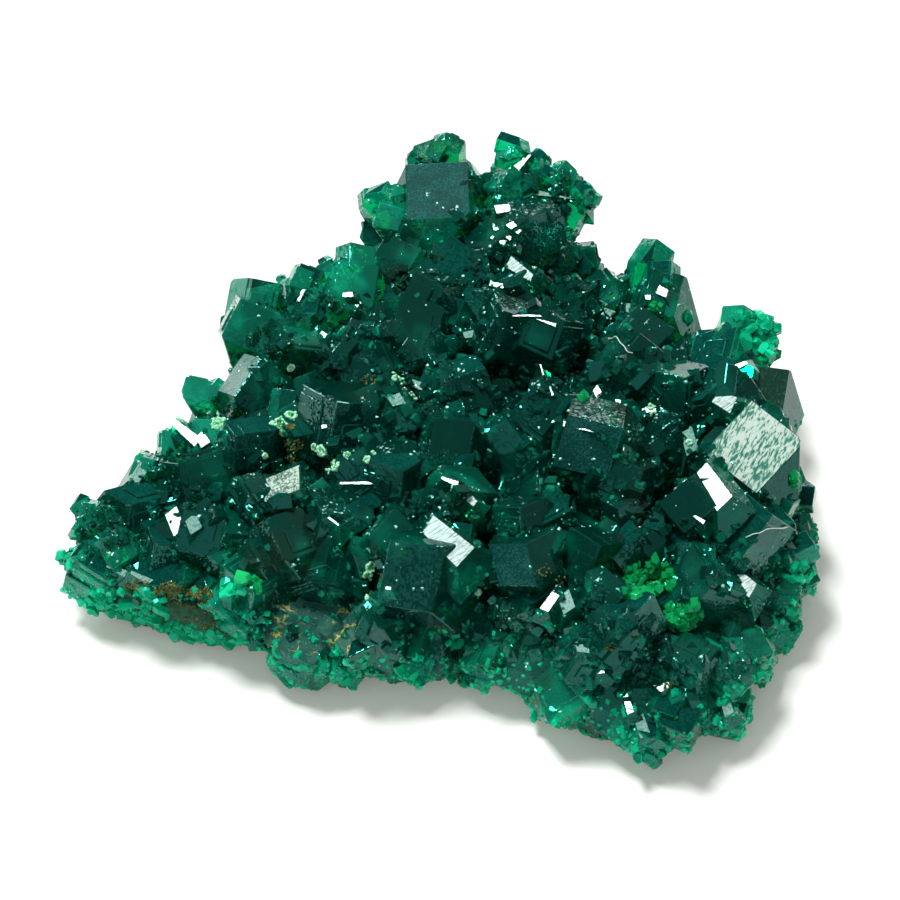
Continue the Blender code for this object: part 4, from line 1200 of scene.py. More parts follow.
# Patches of small crystals among the large ones: x and y on the sight line, radius in mm and number.
DRUSE_PATCHES = (
    (12.5, -22.5, 5.0, 75), (18.0, -23.5, 4.5, 50), (5.5, -21.0, 3.5, 40), (9.5, 24.0, 3.5, 30),
    (-8.5, 11.0, 3.5, 28), (-13.5, 9.0, 2.5, 16), (-2.0, 3.0, 4.0, 34), (6.5, 3.5, 4.0, 34),
    (10.0, 12.0, 3.5, 26), (-19.0, -9.0, 3.0, 18), (-5.0, -20.0, 3.0, 20), (23.0, -15.0, 3.5, 26),
    (2.0, 15.0, 3.0, 20), (17.0, 5.0, 3.5, 24), (-1.0, -8.0, 2.5, 14), (16.0, -10.0, 2.5, 12),
    (-27.5, -11.5, 3.4, 90), (-14.0, -21.5, 3.0, 24),
)
DRUSE_APOTHEM = (0.28, 0.8)


# Broad faces that happen to mirror a bright light are dull: least area in square metres and least cosine.
QUIET_AREA = 2.5e-7
QUIET_FROM = 0.955


def mirrors_light(face):
    """Whether a broad face throws the main light or the back light to the front."""
    if face.area < QUIET_AREA:
        return False
    front = (CAMERA_PLACE - face.center).normalized()
    for place in (KEY_PLACE, STRIP_PLACE):
        facing = (place - face.center).normalized() + front
        if face.normal.dot(facing.normalized()) > QUIET_FROM:
            return True
    return False


def on_sight_line(point):
    """Where the line of sight through a point passes SIGHT_LEVEL, in the plan."""
    heading = point - CAMERA_PLACE
    share = (SIGHT_LEVEL * MM - CAMERA_PLACE.z) / heading.z
    return (CAMERA_PLACE + heading * share) / MM - PLAN_SHIFT


def patch_crystals(surface, chance):
    """Small crystals that break up the large faces in places."""
    found = []
    for x, y, radius, count in DRUSE_PATCHES:
        for _ in range(count):
            turn = chance.uniform(0.0, math.tau)
            reach = radius * math.sqrt(chance.random())
            point, normal = surface.under_sight(x + reach * math.cos(turn), y + reach * math.sin(turn) * 0.8)
            if point is None or point.z < 2.0 * MM:
                continue
            apothem = DRUSE_APOTHEM[0] * (DRUSE_APOTHEM[1] / DRUSE_APOTHEM[0]) ** chance.random()
            wander = Vector([chance.gauss(0.0, 0.3) for _ in range(3)])
            axis = (normal * 0.8 + UP * 0.35 + wander).normalized()
            tip = point / MM - PLAN_SHIFT + axis * apothem * chance.uniform(0.3, 0.9)
            growth = (0.0, chance.uniform(-0.2, 0.1) * apothem, chance.uniform(-0.2, 0.1) * apothem)
            faces = [apothem * chance.uniform(0.75, 1.1) for _ in range(6)]
            found.append(Habit(tip, axis, twisted_flat(axis, chance.uniform(0.0, TWIST_REPEAT)), apothem,
                               apothem * 2.4 + 0.6, growth, faces, 0))
    return found


def build_cover(sizes, colours):
    """Every crystal in one closed skin: bevelled, stepped and chipped, with smaller ones in the hollows."""
    chance = random.Random(STEP_SEED)
    meshes = []
    habits = planned_crystals()
    add_faces(habits, SHOULDER_CRYSTALS, random.Random(SHOULDER_SEED), SHOULDER_GROUP)
    for habit in habits:
        tint = tint_with_painted_glow(habit.tip, chance)
        # Painted glow: the knobs along the outline get the lightest green.
        if habit.group == KNOB_GROUP:
            tint = KNOB_GLOW_TINT
        meshes.append(bevelled_crystal(habit, chance, tint, chip=habit.group <= 0))
        for member in step_members(habit, chance):
            meshes.append(bevelled_crystal(member, chance, tint, chip=False))
    base = mesh_of(merged_copy("dioptase_crystals"), "packed_crystals")
    give_faces(base, "etched", 'INT', [0] * len(base.polygons))
    give_faces(base, "tint", 'FLOAT', [0.3] * len(base.polygons))
    cover = combine(base, meshes, 'UNION')
    small = []
    patch = []
    for habit in hollow_crystals(Surface(cover), sizes, chance):
        small.append(bevelled_crystal(habit, chance, tint_with_painted_glow(habit.tip, chance)))
    cover = combine(cover, small, 'UNION')
    for habit in patch_crystals(Surface(cover), chance):
        patch.append(bevelled_crystal(habit, chance, tint_with_painted_glow(habit.tip, chance), chip=False))
    cover = combine(cover, patch, 'UNION')
    surface = Surface(cover)
    faces = [small_face(surface, row, chance) for row in SMALL_FACES]
    cover = combine(cover, [mesh for mesh in faces if mesh], 'UNION')
    cover = combine(cover, [grown_rock(), floor_block()], 'DIFFERENCE')
    keep_largest_body(cover)
    cover.materials.clear()
    cover.materials.append(dioptase_material("dioptase", colours.deep, colours.light, 0.8,
                                             colours.absorption, colours.density, 0.03))
    # The pale frost of faces 6, 7 and 8 is partly their etched skin and partly painted reflection: light streaks
    # that stand in for the light these faces throw back.
    frost = colours.frost
    cover.materials.append(etched_material("etched_sheen_right", (0.03, 0.2, 0.14), frost, 0.56, (0.5, 0.66, 0.56)))
    cover.materials.append(etched_material("etched_sheen_left", (0.02, 0.09, 0.06), (0.36, 0.48, 0.4), 0.6,
                                           (0.3, 0.6, 0.7), 0.2))
    cover.materials.append(etched_material("etched_sheen_shoulder", (0.06, 0.14, 0.12), (0.12, 0.22, 0.19), 0.6,
                                           (0.7, 0.6, 0.3), 0.6))
    cover.materials.append(dioptase_material("bright_face", colours.deep, colours.light, 0.5, colours.absorption,
                                             colours.density, 0.07, 1.6, 0.0, 0.05, (0.9, 1.0, 1.0, 1.0), 0.16))
    cover.materials.append(etched_material("striated", (0.01, 0.12, 0.09), (0.4, 0.6, 0.55), 0.55,
                                           (0.8, 0.5, 0.3), 0.9))
    # The pale small faces are partly etched and partly painted pale for the bright surroundings reflected in them.
    cover.materials.append(etched_material("pale_sheen_face", (0.03, 0.2, 0.15), (0.12, 0.3, 0.25), 0.6,
                                           (0.6, 0.7, 0.3), 0.5))
    # Painted reflection: faces 1, 2 and 4 get a grey-teal colour that stands in for the bright surroundings
    # reflected in them, with their own shine nearly off.
    cover.materials.append(etched_material("painted_sheen_face", (0.003, 0.045, 0.04), (0.012, 0.09, 0.08), 0.5,
                                           (0.6, 0.7, 0.3), 0.1, 0.015, 0.5))
    cover.materials.append(veined_material())
    cover.materials.append(etched_material("olive_face", (0.009, 0.045, 0.03), (0.024, 0.085, 0.058), 0.5,
                                           (0.2, 0.9, 0.3), 0.5, 0.08))
    cover.materials.append(etched_material("quiet_face", (0.001, 0.035, 0.027), (0.003, 0.055, 0.042), 0.5,
                                           (0.5, 0.8, 0.3), 0.3, 0.0, 0.6))
    marks = [0] * len(cover.polygons)
    cover.attributes["etched"].data.foreach_get("value", marks)
    slots = {6: 1, 7: 2, 8: 3, 11: 4, 12: 5, 13: 6, 1: 7, 2: 7, 4: 7, SHOULDER_GROUP: 9}
    x, y, radius = VEINED_PATCH
    for face, mark in zip(cover.polygons, marks):
        seen = on_sight_line(face.center)
        veined = face.normal.y < 0.2 and math.hypot(seen.x - x, (seen.y - y) * 1.3) < radius
        face.material_index = slots.get(mark, 0)
        if mark == 0 and veined:
            face.material_index = 8
        elif mark == 0 and mirrors_light(face):
            face.material_index = 10
    cover.name = "crystal_cover"
    piece = mesh_piece("crystal_cover", cover)
    shade(piece, False)
    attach(piece, "root")
    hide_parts("dioptase_crystals")
    print("crystal_cover", len(cover.polygons))


def crystal_spots(surface, count, accept, smallest, largest, chance, lift=0.55, wander=0.35):
    """Spots for small crystals where `accept` says so: place, facing, spin and size."""
    found = []
    for point, normal in surface.spots(count, chance):
        if not accept(point, normal, chance):
            continue
        facing = (normal + UP * 0.25 + Vector([chance.gauss(0.0, wander) for _ in range(3)])).normalized()
        size = smallest * (largest / smallest) ** (chance.random() ** 1.6)
        found.append((point + normal * (lift - 0.75) * size * MM, facing, chance.uniform(0.0, math.tau), size))
    return found


def build_fine(sizes, colours):
    """Fine crystals in the hollows and along the feet of the large ones."""
    surface = surface_of("crystal_cover")
    chance = random.Random(31)

    def accept(point, normal, draw):
        if point.z < 1.5 * MM:
            return False
        return surface.openness(point, normal, 2.6 * MM, draw, 8) < draw.uniform(0.3, 0.74)

    spots = crystal_spots(surface, sizes.fine_tries, accept, 0.13, 0.42, chance)
    material = dioptase_material("fine_dioptase", colours.deep, colours.light, 0.8, colours.absorption,
                                 colours.density * 0.5, 0.04, 0.6)
    piece = scatter("fine_crystals", spots, small_crystal_shapes(3, 0.0), material, 4)
    shade(piece, False)
    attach(piece, "root")
    print("fine_crystals", len(spots), len(piece.data.polygons))
    build_glints(sizes)


# Tiny facets: sizes in mm, wander of their facing, and the noise above which they gather.
GLINT_SIZES = (0.035, 0.14)
GLINT_WANDER = 0.035
GLINT_CLUSTER = 0.05


def glint_shapes():
    """Low flat-topped crystals of radius 1: one compact, one long and one three-sided."""
    shapes = []
    for corners, narrow in ((5, 0.8), (4, 0.3), (3, 0.9)):
        planes = [(UP * 0.25, UP), (-UP * 0.8, -UP)]
        for corner in range(corners):
            angle = math.tau * (corner + 0.35) / corners
            side = Vector((math.cos(angle), math.sin(angle), 0.0))
            reach = math.hypot(side.x, side.y * narrow)
            planes.append((side * reach, (side + UP * 0.5).normalized()))
        solid = convex_solid(Vector(), 8.0, planes)
        bmesh.ops.triangulate(solid, faces=list(solid.faces))
        shapes.append(mesh_of(solid, "glint"))
    return shapes


def build_glints(sizes):
    """Tiny facets that mirror the main light, gathered in swarms."""
    surface = surface_of("crystal_cover")
    chance = random.Random(63)
    spots = []
    for point, normal in surface.spots(sizes.glint_tries, chance):
        cluster = noise.noise(point / MM * 0.28 + Vector((4.0, 9.0, 2.0)))
        facing = (KEY_PLACE - point).normalized() + (CAMERA_PLACE - point).normalized()
        if point.z < 1.5 * MM or normal.dot(facing) < 0.3 or cluster + chance.gauss(0.0, 0.12) < GLINT_CLUSTER:
            continue
        wander = Vector([chance.gauss(0.0, GLINT_WANDER) for _ in range(3)])
        size = GLINT_SIZES[0] * (GLINT_SIZES[1] / GLINT_SIZES[0]) ** (chance.random() ** 2.0)
        spots.append((point, (facing.normalized() + wander).normalized(), chance.uniform(0.0, math.tau), size))
    material = etched_material("glint_face", (0.02, 0.3, 0.2), (0.06, 0.5, 0.36), 0.5, (1.0, 0.0, 0.0), 0.0, 0.5,
                               0.14)
    piece = scatter("glint_facets", spots, glint_shapes(), material, 3)
    shade(piece, False)
    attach(piece, "root")
    print("glints", len(spots))


# Height in mm that the rim's druse climbs to, and how much higher it does at the front.
RIM_TOP = 5.6
RIM_FRONT_LIFT = 1.6
# Least tint of the rim's crystals: it keeps their green painted light, as glow from the floor.
RIM_GLOW_LEAST_TINT = 0.35


def build_rim(sizes, colours):
    """Granular druse along the lower edge of the plate, painted a lighter green than the body for the glow of the
    floor's light through it.
    """
    surface = surface_of("crystal_cover")
    chance = random.Random(12)

    def low_edge(point, normal, draw):
        plan = point / MM - PLAN_SHIFT
        share = plan_share(plan.x, plan.y)
        top = RIM_TOP + RIM_FRONT_LIFT * min(1.0, max(0.0, -plan.y / 10.0))
        if share < 0.78 or plan.z > top * draw.uniform(0.5, 1.0) or plan.z < 0.9:
            return False
        return normal.z < 0.75

    def rock_foot(point, normal, draw):
        plan = point / MM - PLAN_SHIFT
        bearing = math.atan2(plan.y - PLATE_CENTRE[1], plan.x - PLATE_CENTRE[0])
        if bare_rock_weight(bearing) < 0.2 or plan_share(plan.x, plan.y) < 0.72 or normal.z < -0.6:
            return False
        return 1.2 < plan.z < draw.uniform(2.2, 3.7)

    spots = crystal_spots(surface, sizes.rim_tries, low_edge, 0.14, 0.42, chance)
    spots += crystal_spots(surface_of("rock_matrix"), sizes.rim_tries * 2, rock_foot, 0.2, 0.5, chance)
    for patch in RIM_PATCHES:
        spots += patch_spots(surface, patch, chance, 0.2, 0.5, 0.1, 0.5)
    spots = [spot for spot in spots if spot[0].z > spot[3] * 1.1 * MM]
    # Painted glow: the rim's deep and light greens are much lighter than the body's, standing in for light from the
    # floor shining through the thin crystals.
    material = dioptase_material("rim_dioptase", (0.0, 0.42, 0.2), (0.01, 0.95, 0.5), 0.4,
                                 (0.0, 0.9, 0.55), colours.density * 0.35, 0.05, 0.8, 0.1, 0.3, shine=0.04)
    piece = scatter("rim_druse", spots, small_crystal_shapes(9, 0.0), material, 8, RIM_GLOW_LEAST_TINT)
    shade(piece, False)
    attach(piece, "root")
    print("rim_druse", len(spots), len(piece.data.polygons))


# Patches of the same druse, painted lighter for glow, away from the foot: x and y on the sight line, radius
# in mm and number.
RIM_PATCHES = ((26.2, 8.2, 2.3, 80), (24.6, 10.6, 1.2, 26), (-25.4, -17.8, 1.1, 50),
               (-22.6, -18.2, 1.4, 60), (-15.9, -16.9, 0.7, 14), (27.0, -15.5, 1.4, 30))

# Tufts, on sight lines through x and y at SIGHT_LEVEL: radius of the patch in mm, number of rings.
TUFTS = (
    (-17.2, -0.3, 1.1, 4), (-13.9, 1.0, 0.5, 1), (-12.6, -0.3, 1.1, 5), (-9.8, -3.7, 0.9, 4),
    (-8.1, -4.4, 0.8, 4), (-13.8, -4.1, 0.5, 2), (-12.1, 4.8, 0.6, 2), (-3.7, 3.8, 0.6, 2),
    (-5.8, -4.0, 0.5, 2), (-5.7, -15.2, 0.8, 3), (-5.9, -17.4, 0.4, 2), (2.5, -17.4, 0.5, 2),
    (15.9, 0.6, 0.6, 2), (19.0, -2.6, 0.3, 1),
)
SIGHT_LEVEL = 12.0
# Knobs along a tuft's ring, for each millimetre of its radius.
TUFT_CROWDING = 100

# Bright small crystals: x and y of the middle on the sight line, radius of the patch in mm and number.
BRIGHT_PATCHES = ((15.3, -16.0, 1.9, 110), (17.7, -19.3, 1.3, 60), (13.9, -17.4, 0.6, 12), (26.9, -6.3, 0.5, 12),
                  (-14.4, -16.4, 0.7, 14), (10.9, 2.2, 0.4, 6), (17.0, 11.8, 0.5, 10))

# Iron crust in patches over the crystals: the same, with the number of grains.
IRON_PATCHES = ((-12.0, -1.0, 0.35, 50), (-11.7, -2.8, 0.8, 45), (-23.0, -16.8, 1.0, 120), (-20.6, -17.2, 1.1, 220),
                (-18.4, -17.5, 1.1, 220),
                (7.5, -15.3, 0.6, 16), (8.7, -16.1, 0.5, 12), (12.3, -22.4, 0.4, 12), (16.3, -25.9, 0.5, 20),
                (-6.0, 3.9, 0.7, 30), (-11.9, -4.2, 0.5, 14))

# Hair-fine fibres: their two ends, on sight lines.
FIBRES = (((13.0, 7.8), (14.9, 6.6)), ((22.8, -12.2), (26.0, -11.4)))


def patch_spots(surface, patch, chance, smallest, largest, lift, wander=0.3):
    """Spots scattered over a round patch, on whatever the lines of sight meet there."""
    x, y, radius, count = patch
    found = []
    for _ in range(count):
        turn = chance.uniform(0.0, math.tau)
        reach = radius * math.sqrt(chance.random())
        point, normal = surface.under_sight(x + reach * math.cos(turn), y + reach * math.sin(turn) * 0.8)
        if point is None or normal is None:
            continue
        facing = (normal + UP * 0.3 + Vector([chance.gauss(0.0, wander) for _ in range(3)])).normalized()
        size = chance.uniform(smallest, largest)
        found.append((point + normal * lift * size * MM, facing, chance.uniform(0.0, math.tau), size))
    return found


def build_bright(sizes, colours):
    """The clusters of small bright green crystals."""
    surface = surface_of("crystal_cover")
    chance = random.Random(5)
    spots = []
    for patch in BRIGHT_PATCHES:
        spots += patch_spots(surface, patch, chance, 0.16, 0.46, 0.1, 0.7)
    material = dioptase_material("bright_dioptase", (0.0, 0.3, 0.07), (0.02, 0.8, 0.24), 0.4,
                                 (0.0, 0.9, 0.4), 600.0, 0.04, 0.6, 0.0, 0.6)
    piece = scatter("bright_crystals", spots, small_crystal_shapes(17, 0.07), material, 2)
    shade(piece, False)
    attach(piece, "root")


def build_tufts(sizes, colours):
    """Pale green tufts: knobbly rings with a greener middle."""
    surface = surface_of("crystal_cover")
    chance = random.Random(44)
    rims = []
    middles = []
    for x, y, radius, rings in TUFTS:
        for _ in range(rings):
            turn = chance.uniform(0.0, math.tau)
            reach = radius * math.sqrt(chance.random()) * (0.0 if rings == 1 else 0.9)
            cx = x + reach * math.cos(turn)
            cy = y + reach * math.sin(turn)
            ring = radius * chance.uniform(0.25, 0.48) if rings > 1 else radius * 0.7
            point, normal = surface.under_sight(cx, cy)
            if point is None:
                continue
            side = normal.orthogonal().normalized()
            count = int(TUFT_CROWDING * ring)
            for step in range(count):
                angle = math.tau * step / count + chance.uniform(-0.1, 0.1)
                spoke = Matrix.Rotation(angle, 3, normal) @ side
                start = point + (spoke * ring * chance.uniform(0.75, 1.1) + normal * 0.8) * MM
                spot, face, _, _ = surface.tree.ray_cast(start, -normal, 3.0 * MM)
                if spot is None:
                    continue
                size = chance.uniform(0.05, 0.12)
                rims.append((spot + normal * size * chance.uniform(0.2, 1.1) * MM, normal,
                             chance.uniform(0.0, math.tau), size))
            for _ in range(int(TUFT_CROWDING * 0.6 * ring)):
                angle = chance.uniform(0.0, math.tau)
                spoke = Matrix.Rotation(angle, 3, normal) @ side
                start = point + (spoke * ring * 0.75 * math.sqrt(chance.random()) + normal * 0.8) * MM
                spot, face, _, _ = surface.tree.ray_cast(start, -normal, 3.0 * MM)
                if spot is None:
                    continue
                size = chance.uniform(0.05, 0.12)
                middles.append((spot, normal, chance.uniform(0.0, math.tau), size))
    pale = mineral_material("tuft_rim", ((0.2, 0.66, 0.34), (0.42, 0.88, 0.6), (0.75, 1.0, 0.86)), 3500.0, 0.7,
                            0.00006)
    green = mineral_material("tuft_middle", ((0.02, 0.28, 0.08), (0.07, 0.46, 0.16), (0.28, 0.7, 0.34)), 3500.0, 0.7,
                             0.00006)
    for name, spots, material in (("tuft_rims", rims, pale), ("tuft_middles", middles, green)):
        piece = scatter(name, spots, knob_shapes(6), material, 3)
        shade(piece, True)
        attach(piece, "root")
    print("tufts", len(rims), len(middles))


def build_iron(sizes, colours):
    """Rust and ochre grains in the hollows at the left and along the bare rock."""
    surface = surface_of("crystal_cover")
    rock = surface_of("rock_matrix")
    chance = random.Random(71)
    spots = []
    for patch in IRON_PATCHES:
        spots += patch_spots(surface, patch, chance, 0.05, 0.12, 0.2)
    for point, normal in rock.spots(9000, chance):
        plan = point / MM - PLAN_SHIFT
        bearing = math.atan2(plan.y - PLATE_CENTRE[1], plan.x - PLATE_CENTRE[0])
        if bare_rock_weight(bearing) < 0.2 or plan_share(plan.x, plan.y) < 0.85:
            continue
        where = 0.5 + 0.5 * noise.noise(plan * 0.55 + Vector((9.0, 0.0, 0.0)))
        if plan.z < 2.6 or chance.random() > where * (plan.z - 2.2) * 0.5:
            continue
        size = chance.uniform(0.07, 0.2)
        spots.append((point, normal, chance.uniform(0.0, math.tau), size))
    material = mineral_material("iron_crust", ((0.035, 0.045, 0.01), (0.11, 0.14, 0.035), (0.24, 0.29, 0.1)), 1600.0,
                                0.8, 0.00005)
    piece = scatter("iron_crust", spots, knob_shapes(8, 3, 1, 0.5), material, 6)
    shade(piece, False)
    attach(piece, "root")
    print("iron", len(spots))


def build_rock(sizes, colours):
    """The host rock, with its own broken relief over the plain solid and the same flat foot."""
    solid = merged_copy("host_rock")
    for _ in range(4):
        bmesh.ops.subdivide_edges(solid, edges=list(solid.edges), cuts=1, use_grid_fill=True)
    bmesh.ops.triangulate(solid, faces=list(solid.faces))
    solid.normal_update()
    moves = []
    for vert in solid.verts:
        place = vert.co / MM
        broad = noise.noise(place * 0.55 + Vector((3.0, 0.0, 0.0)))
        ridged = 1.0 - abs(noise.noise(place * 1.3 + Vector((0.0, 7.0, 0.0)))) * 2.0
        fine = noise.noise(place * 4.5 + Vector((0.0, 0.0, 5.0)))
        rise = 0.16 * broad + 0.13 * ridged + 0.06 * fine
        hold = min(1.0, place.z / 0.6)
        moves.append((vert, vert.normal * rise * hold * MM))
    for vert, move in moves:
        vert.co += move
        vert.co.z = max(0.0, vert.co.z)
    piece = mesh_piece("rock_matrix", mesh_of(solid, "rock_matrix"))
    piece.data.materials.clear()
    piece.data.materials.append(mineral_material(
        "matrix_rock", (colours.rock, (0.02, 0.1, 0.06), (0.06, 0.12, 0.05)), 620.0, 0.75, 0.00015))
    shade(piece, True)
    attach(piece, "root")
    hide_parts("host_rock")
    print("rock", len(piece.data.polygons))


def build_fibres(sizes, colours):
    """Two hair-fine fibres that lie over the crystals."""
    surface = surface_of("crystal_cover")
    chance = random.Random(3)
    solid = bmesh.new()
    radius = 0.035 * MM
    for first, last in FIBRES:
        points = []
        for step in range(13):
            share = step / 12.0
            x = first[0] + (last[0] - first[0]) * share
            y = first[1] + (last[1] - first[1]) * share + 0.25 * math.sin(share * math.pi * 1.4)
            point, normal = surface.under_sight(x, y)
            if point is not None:
                points.append(point + UP * 0.12 * MM)
        heights = [point.z for point in points]
        for index, point in enumerate(points):
            near = heights[max(0, index - 2):index + 3]
            point.z = max(near)
        loops = []
        for index, point in enumerate(points):
            ahead = points[min(index + 1, len(points) - 1)] - points[max(index - 1, 0)]
            side = ahead.cross(UP).normalized()
            over = side.cross(ahead).normalized()
            loops.append([solid.verts.new(point + (side * math.cos(a) + over * math.sin(a)) * radius)
                          for a in [math.tau * corner / 6.0 for corner in range(6)]])
        for low, high in zip(loops, loops[1:]):
            for corner in range(6):
                after = (corner + 1) % 6
                solid.faces.new((low[corner], low[after], high[after], high[corner]))
        solid.faces.new(loops[0])
        solid.faces.new(list(reversed(loops[-1])))
    bmesh.ops.recalc_face_normals(solid, faces=list(solid.faces))
    piece = mesh_piece("fibres", mesh_of(solid, "fibres"))
    piece.data.materials.append(mineral_material("fibre", ((0.5, 0.62, 0.55), (0.7, 0.78, 0.72),
                                                            (0.85, 0.9, 0.86)), 3000.0, 0.5, 0.00001))
    shade(piece, True)
    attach(piece, "root")


def build_stage(sizes, colours):
    """Pale floor, soft lights and the camera."""
    solid = bmesh.new()
    bmesh.ops.create_grid(solid, x_segments=8, y_segments=8, size=0.9)
    floor = mesh_piece("floor", mesh_of(solid, "floor"))
    material, tree, output, place = new_material("floor_paper")
    shader = add_node(tree, "ShaderNodeBsdfPrincipled", 300, 0)
    mottle = add_noise(tree, -300, 0, place, 60.0, 2.0, 0.5)
    feed(tree, shader, Base_Color=add_mix(tree, 0, 0, mottle, (0.82, 0.82, 0.81, 1.0), (0.84, 0.84, 0.83, 1.0)),
         Roughness=0.9, Specular_IOR_Level=0.1, Emission_Color=(1.0, 1.0, 0.9, 1.0), Emission_Strength=0.13)
    tree.links.new(shader.outputs["BSDF"], output.inputs["Surface"])
    floor.data.materials.append(material)
    for (name, bearing, elevation, _, width, height, radiance), place in zip(LIGHTS, LIGHT_PLACES):
        data = bpy.data.lights.new(name, 'AREA')
        data.shape = 'RECTANGLE'
        data.size = width
        data.size_y = height
        data.energy = radiance * math.pi * width * height
        light = bpy.data.objects.new(name, data)
        bpy.context.scene.collection.objects.link(light)
        heading = direction(bearing, elevation)
        light.location = place
        light.rotation_euler = heading.to_track_quat('Z', 'Y').to_euler()
    world = bpy.data.worlds.new("studio")
    world.use_nodes = True
    world.node_tree.nodes["Background"].inputs["Color"].default_value = (0.98, 1.0, 0.94, 1.0)
    world.node_tree.nodes["Background"].inputs["Strength"].default_value = 0.34
    bpy.context.scene.world = world
    data = bpy.data.cameras.new("camera")
    data.sensor_width = 36.0
    data.lens = 36.0 * CAMERA_DISTANCE / CAMERA_WIDTH
    data.clip_start = 0.001
    camera = bpy.data.objects.new("camera", data)
    bpy.context.scene.collection.objects.link(camera)
    camera.location = CAMERA_PLACE
    camera.rotation_euler = (math.radians(90.0) - CAMERA_ELEVATION, 0.0, 0.0)
    bpy.context.scene.camera = camera
    bpy.context.scene.view_settings.view_transform = 'Standard'
    bpy.context.scene.cycles.max_bounces = 6
    bpy.context.scene.cycles.transmission_bounces = 5
    bpy.context.scene.cycles.glossy_bounces = 2
    bpy.context.scene.cycles.diffuse_bounces = 2


# ---------------------------------------------------------------------------------------------------------
# The add-on: settings, operators and panel.
# ---------------------------------------------------------------------------------------------------------


class DIOPTASE_PG_sizes(bpy.types.PropertyGroup):
    """Counts of what is scattered over the specimen."""

    hollow_tries: IntProperty(name="Hollow tries", description="Spots tried for middling crystals",
                              default=6000, min=0)
    hollow_count: IntProperty(name="Hollow crystals", description="Most middling crystals in the hollows",
                              default=700, min=1)
    fine_tries: IntProperty(name="Fine tries", description="Spots tried for the fine crystals",
                            default=22000, min=0)
    rim_tries: IntProperty(name="Rim tries", description="Spots tried for the granular rim",
                           default=30000, min=0)
    glint_tries: IntProperty(name="Glint tries", description="Spots tried for the tiny bright facets",
                             default=5200, min=0)


class DIOPTASE_PG_colours(bpy.types.PropertyGroup):
    """Colours of the minerals."""

    deep: FloatVectorProperty(name="Deep green", description="Body colour of the darker crystals",
                              subtype='COLOR', size=3, min=0.0, max=1.0, default=(0.002, 0.1, 0.07))
    # The light green is what the painted glow at the edge, low down and in patches lifts crystals towards.
    light: FloatVectorProperty(name="Light green", description="Body colour of the lighter crystals",
                               subtype='COLOR', size=3, min=0.0, max=1.0, default=(0.01, 0.95, 0.55))
    absorption: FloatVectorProperty(name="Depth colour", description="Colour that clear crystal takes with depth",
                                    subtype='COLOR', size=3, min=0.0, max=1.0, default=(0.0, 0.79, 0.57))
    density: FloatProperty(name="Depth density", description="How fast clear crystal darkens, per metre",
                           default=1300.0, min=0.0)
    # The etched faces' pale colour is partly their etched skin and partly painted reflection.
    frost: FloatVectorProperty(name="Etched faces", description="Colour of the dull, pale faces",
                               subtype='COLOR', size=3, min=0.0, max=1.0, default=(0.52, 0.66, 0.58))
    rock: FloatVectorProperty(name="Rock", description="Main colour of the host rock",
                              subtype='COLOR', size=3, min=0.0, max=1.0, default=(0.012, 0.055, 0.032))


class DIOPTASE_OT_rock(bpy.types.Operator):
    """Build the host rock with its broken relief."""

    bl_idname = "dioptase.rock"
    bl_label = "Host rock"

    def execute(self, context):
        build_rock(context.scene.dioptase_sizes, context.scene.dioptase_colours)
        return {'FINISHED'}


class DIOPTASE_OT_cover(bpy.types.Operator):
    """Build the large and middling crystals as one closed skin."""

    bl_idname = "dioptase.cover"
    bl_label = "Crystal cover"

    def execute(self, context):
        build_cover(context.scene.dioptase_sizes, context.scene.dioptase_colours)
        return {'FINISHED'}


class DIOPTASE_OT_fine(bpy.types.Operator):
    """Scatter the fine crystals in the hollows."""

    bl_idname = "dioptase.fine"
    bl_label = "Fine crystals"

    def execute(self, context):
        build_fine(context.scene.dioptase_sizes, context.scene.dioptase_colours)
        return {'FINISHED'}


class DIOPTASE_OT_rim(bpy.types.Operator):
    """Scatter the granular druse along the lower edge."""

    bl_idname = "dioptase.rim"
    bl_label = "Rim druse"

    def execute(self, context):
        build_rim(context.scene.dioptase_sizes, context.scene.dioptase_colours)
        return {'FINISHED'}


class DIOPTASE_OT_bright(bpy.types.Operator):
    """Scatter the bright green clusters."""

    bl_idname = "dioptase.bright"
    bl_label = "Bright clusters"

    def execute(self, context):
        build_bright(context.scene.dioptase_sizes, context.scene.dioptase_colours)
        return {'FINISHED'}


class DIOPTASE_OT_tufts(bpy.types.Operator):
    """Build the pale green tufts."""

    bl_idname = "dioptase.tufts"
    bl_label = "Pale tufts"

    def execute(self, context):
        build_tufts(context.scene.dioptase_sizes, context.scene.dioptase_colours)
        return {'FINISHED'}


class DIOPTASE_OT_iron(bpy.types.Operator):
    """Scatter the iron crust."""

    bl_idname = "dioptase.iron"
    bl_label = "Iron crust"

    def execute(self, context):
        build_iron(context.scene.dioptase_sizes, context.scene.dioptase_colours)
        return {'FINISHED'}


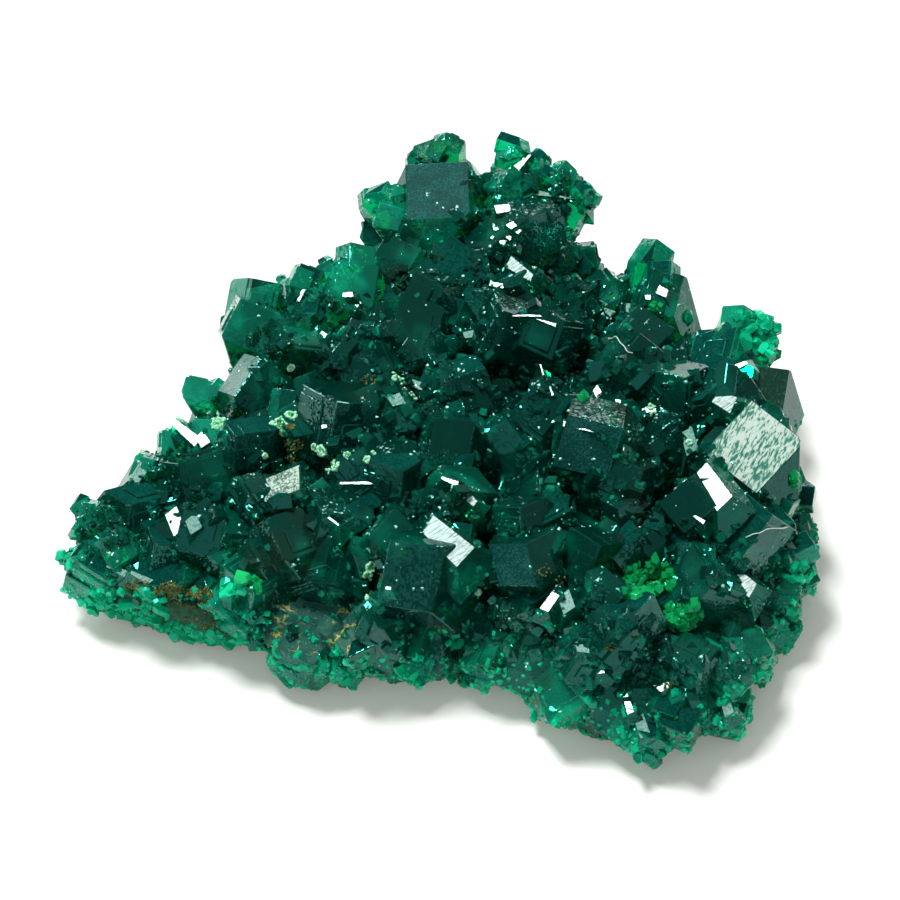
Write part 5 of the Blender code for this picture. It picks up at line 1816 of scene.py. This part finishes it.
class DIOPTASE_OT_fibres(bpy.types.Operator):
    """Lay the hair-fine fibres over the crystals."""

    bl_idname = "dioptase.fibres"
    bl_label = "Fibres"

    def execute(self, context):
        build_fibres(context.scene.dioptase_sizes, context.scene.dioptase_colours)
        return {'FINISHED'}


class DIOPTASE_OT_stage(bpy.types.Operator):
    """Set up the floor, the lights and the camera."""

    bl_idname = "dioptase.stage"
    bl_label = "Stage"

    def execute(self, context):
        build_stage(context.scene.dioptase_sizes, context.scene.dioptase_colours)
        return {'FINISHED'}


STEPS = (DIOPTASE_OT_rock, DIOPTASE_OT_cover, DIOPTASE_OT_fine, DIOPTASE_OT_rim, DIOPTASE_OT_bright,
         DIOPTASE_OT_tufts, DIOPTASE_OT_iron, DIOPTASE_OT_fibres, DIOPTASE_OT_stage)


class DIOPTASE_PT_panel(bpy.types.Panel):
    """Settings and steps of the specimen."""

    bl_idname = "DIOPTASE_PT_panel"
    bl_label = "Raw Dioptase"
    bl_space_type = 'VIEW_3D'
    bl_region_type = 'UI'
    bl_category = "Dioptase"

    def draw(self, context):
        for settings in (context.scene.dioptase_sizes, context.scene.dioptase_colours):
            box = self.layout.box()
            for name in settings.bl_rna.properties.keys():
                if name not in {"rna_type", "name"}:
                    box.prop(settings, name)
        for step in STEPS:
            self.layout.operator(step.bl_idname)


CLASSES = (DIOPTASE_PG_sizes, DIOPTASE_PG_colours) + STEPS + (DIOPTASE_PT_panel,)


def register():
    for item in CLASSES:
        bpy.utils.register_class(item)
    bpy.types.Scene.dioptase_sizes = PointerProperty(type=DIOPTASE_PG_sizes)
    bpy.types.Scene.dioptase_colours = PointerProperty(type=DIOPTASE_PG_colours)


def unregister():
    del bpy.types.Scene.dioptase_colours
    del bpy.types.Scene.dioptase_sizes
    for item in reversed(CLASSES):
        bpy.utils.unregister_class(item)


def main():
    """Build every piece in order."""
    register()
    for step in STEPS:
        family, name = step.bl_idname.split(".")
        if getattr(getattr(bpy.ops, family), name)() != {'FINISHED'}:
            raise RuntimeError(f"{step.bl_label} did not finish")


if __name__ == "__main__":
    main()
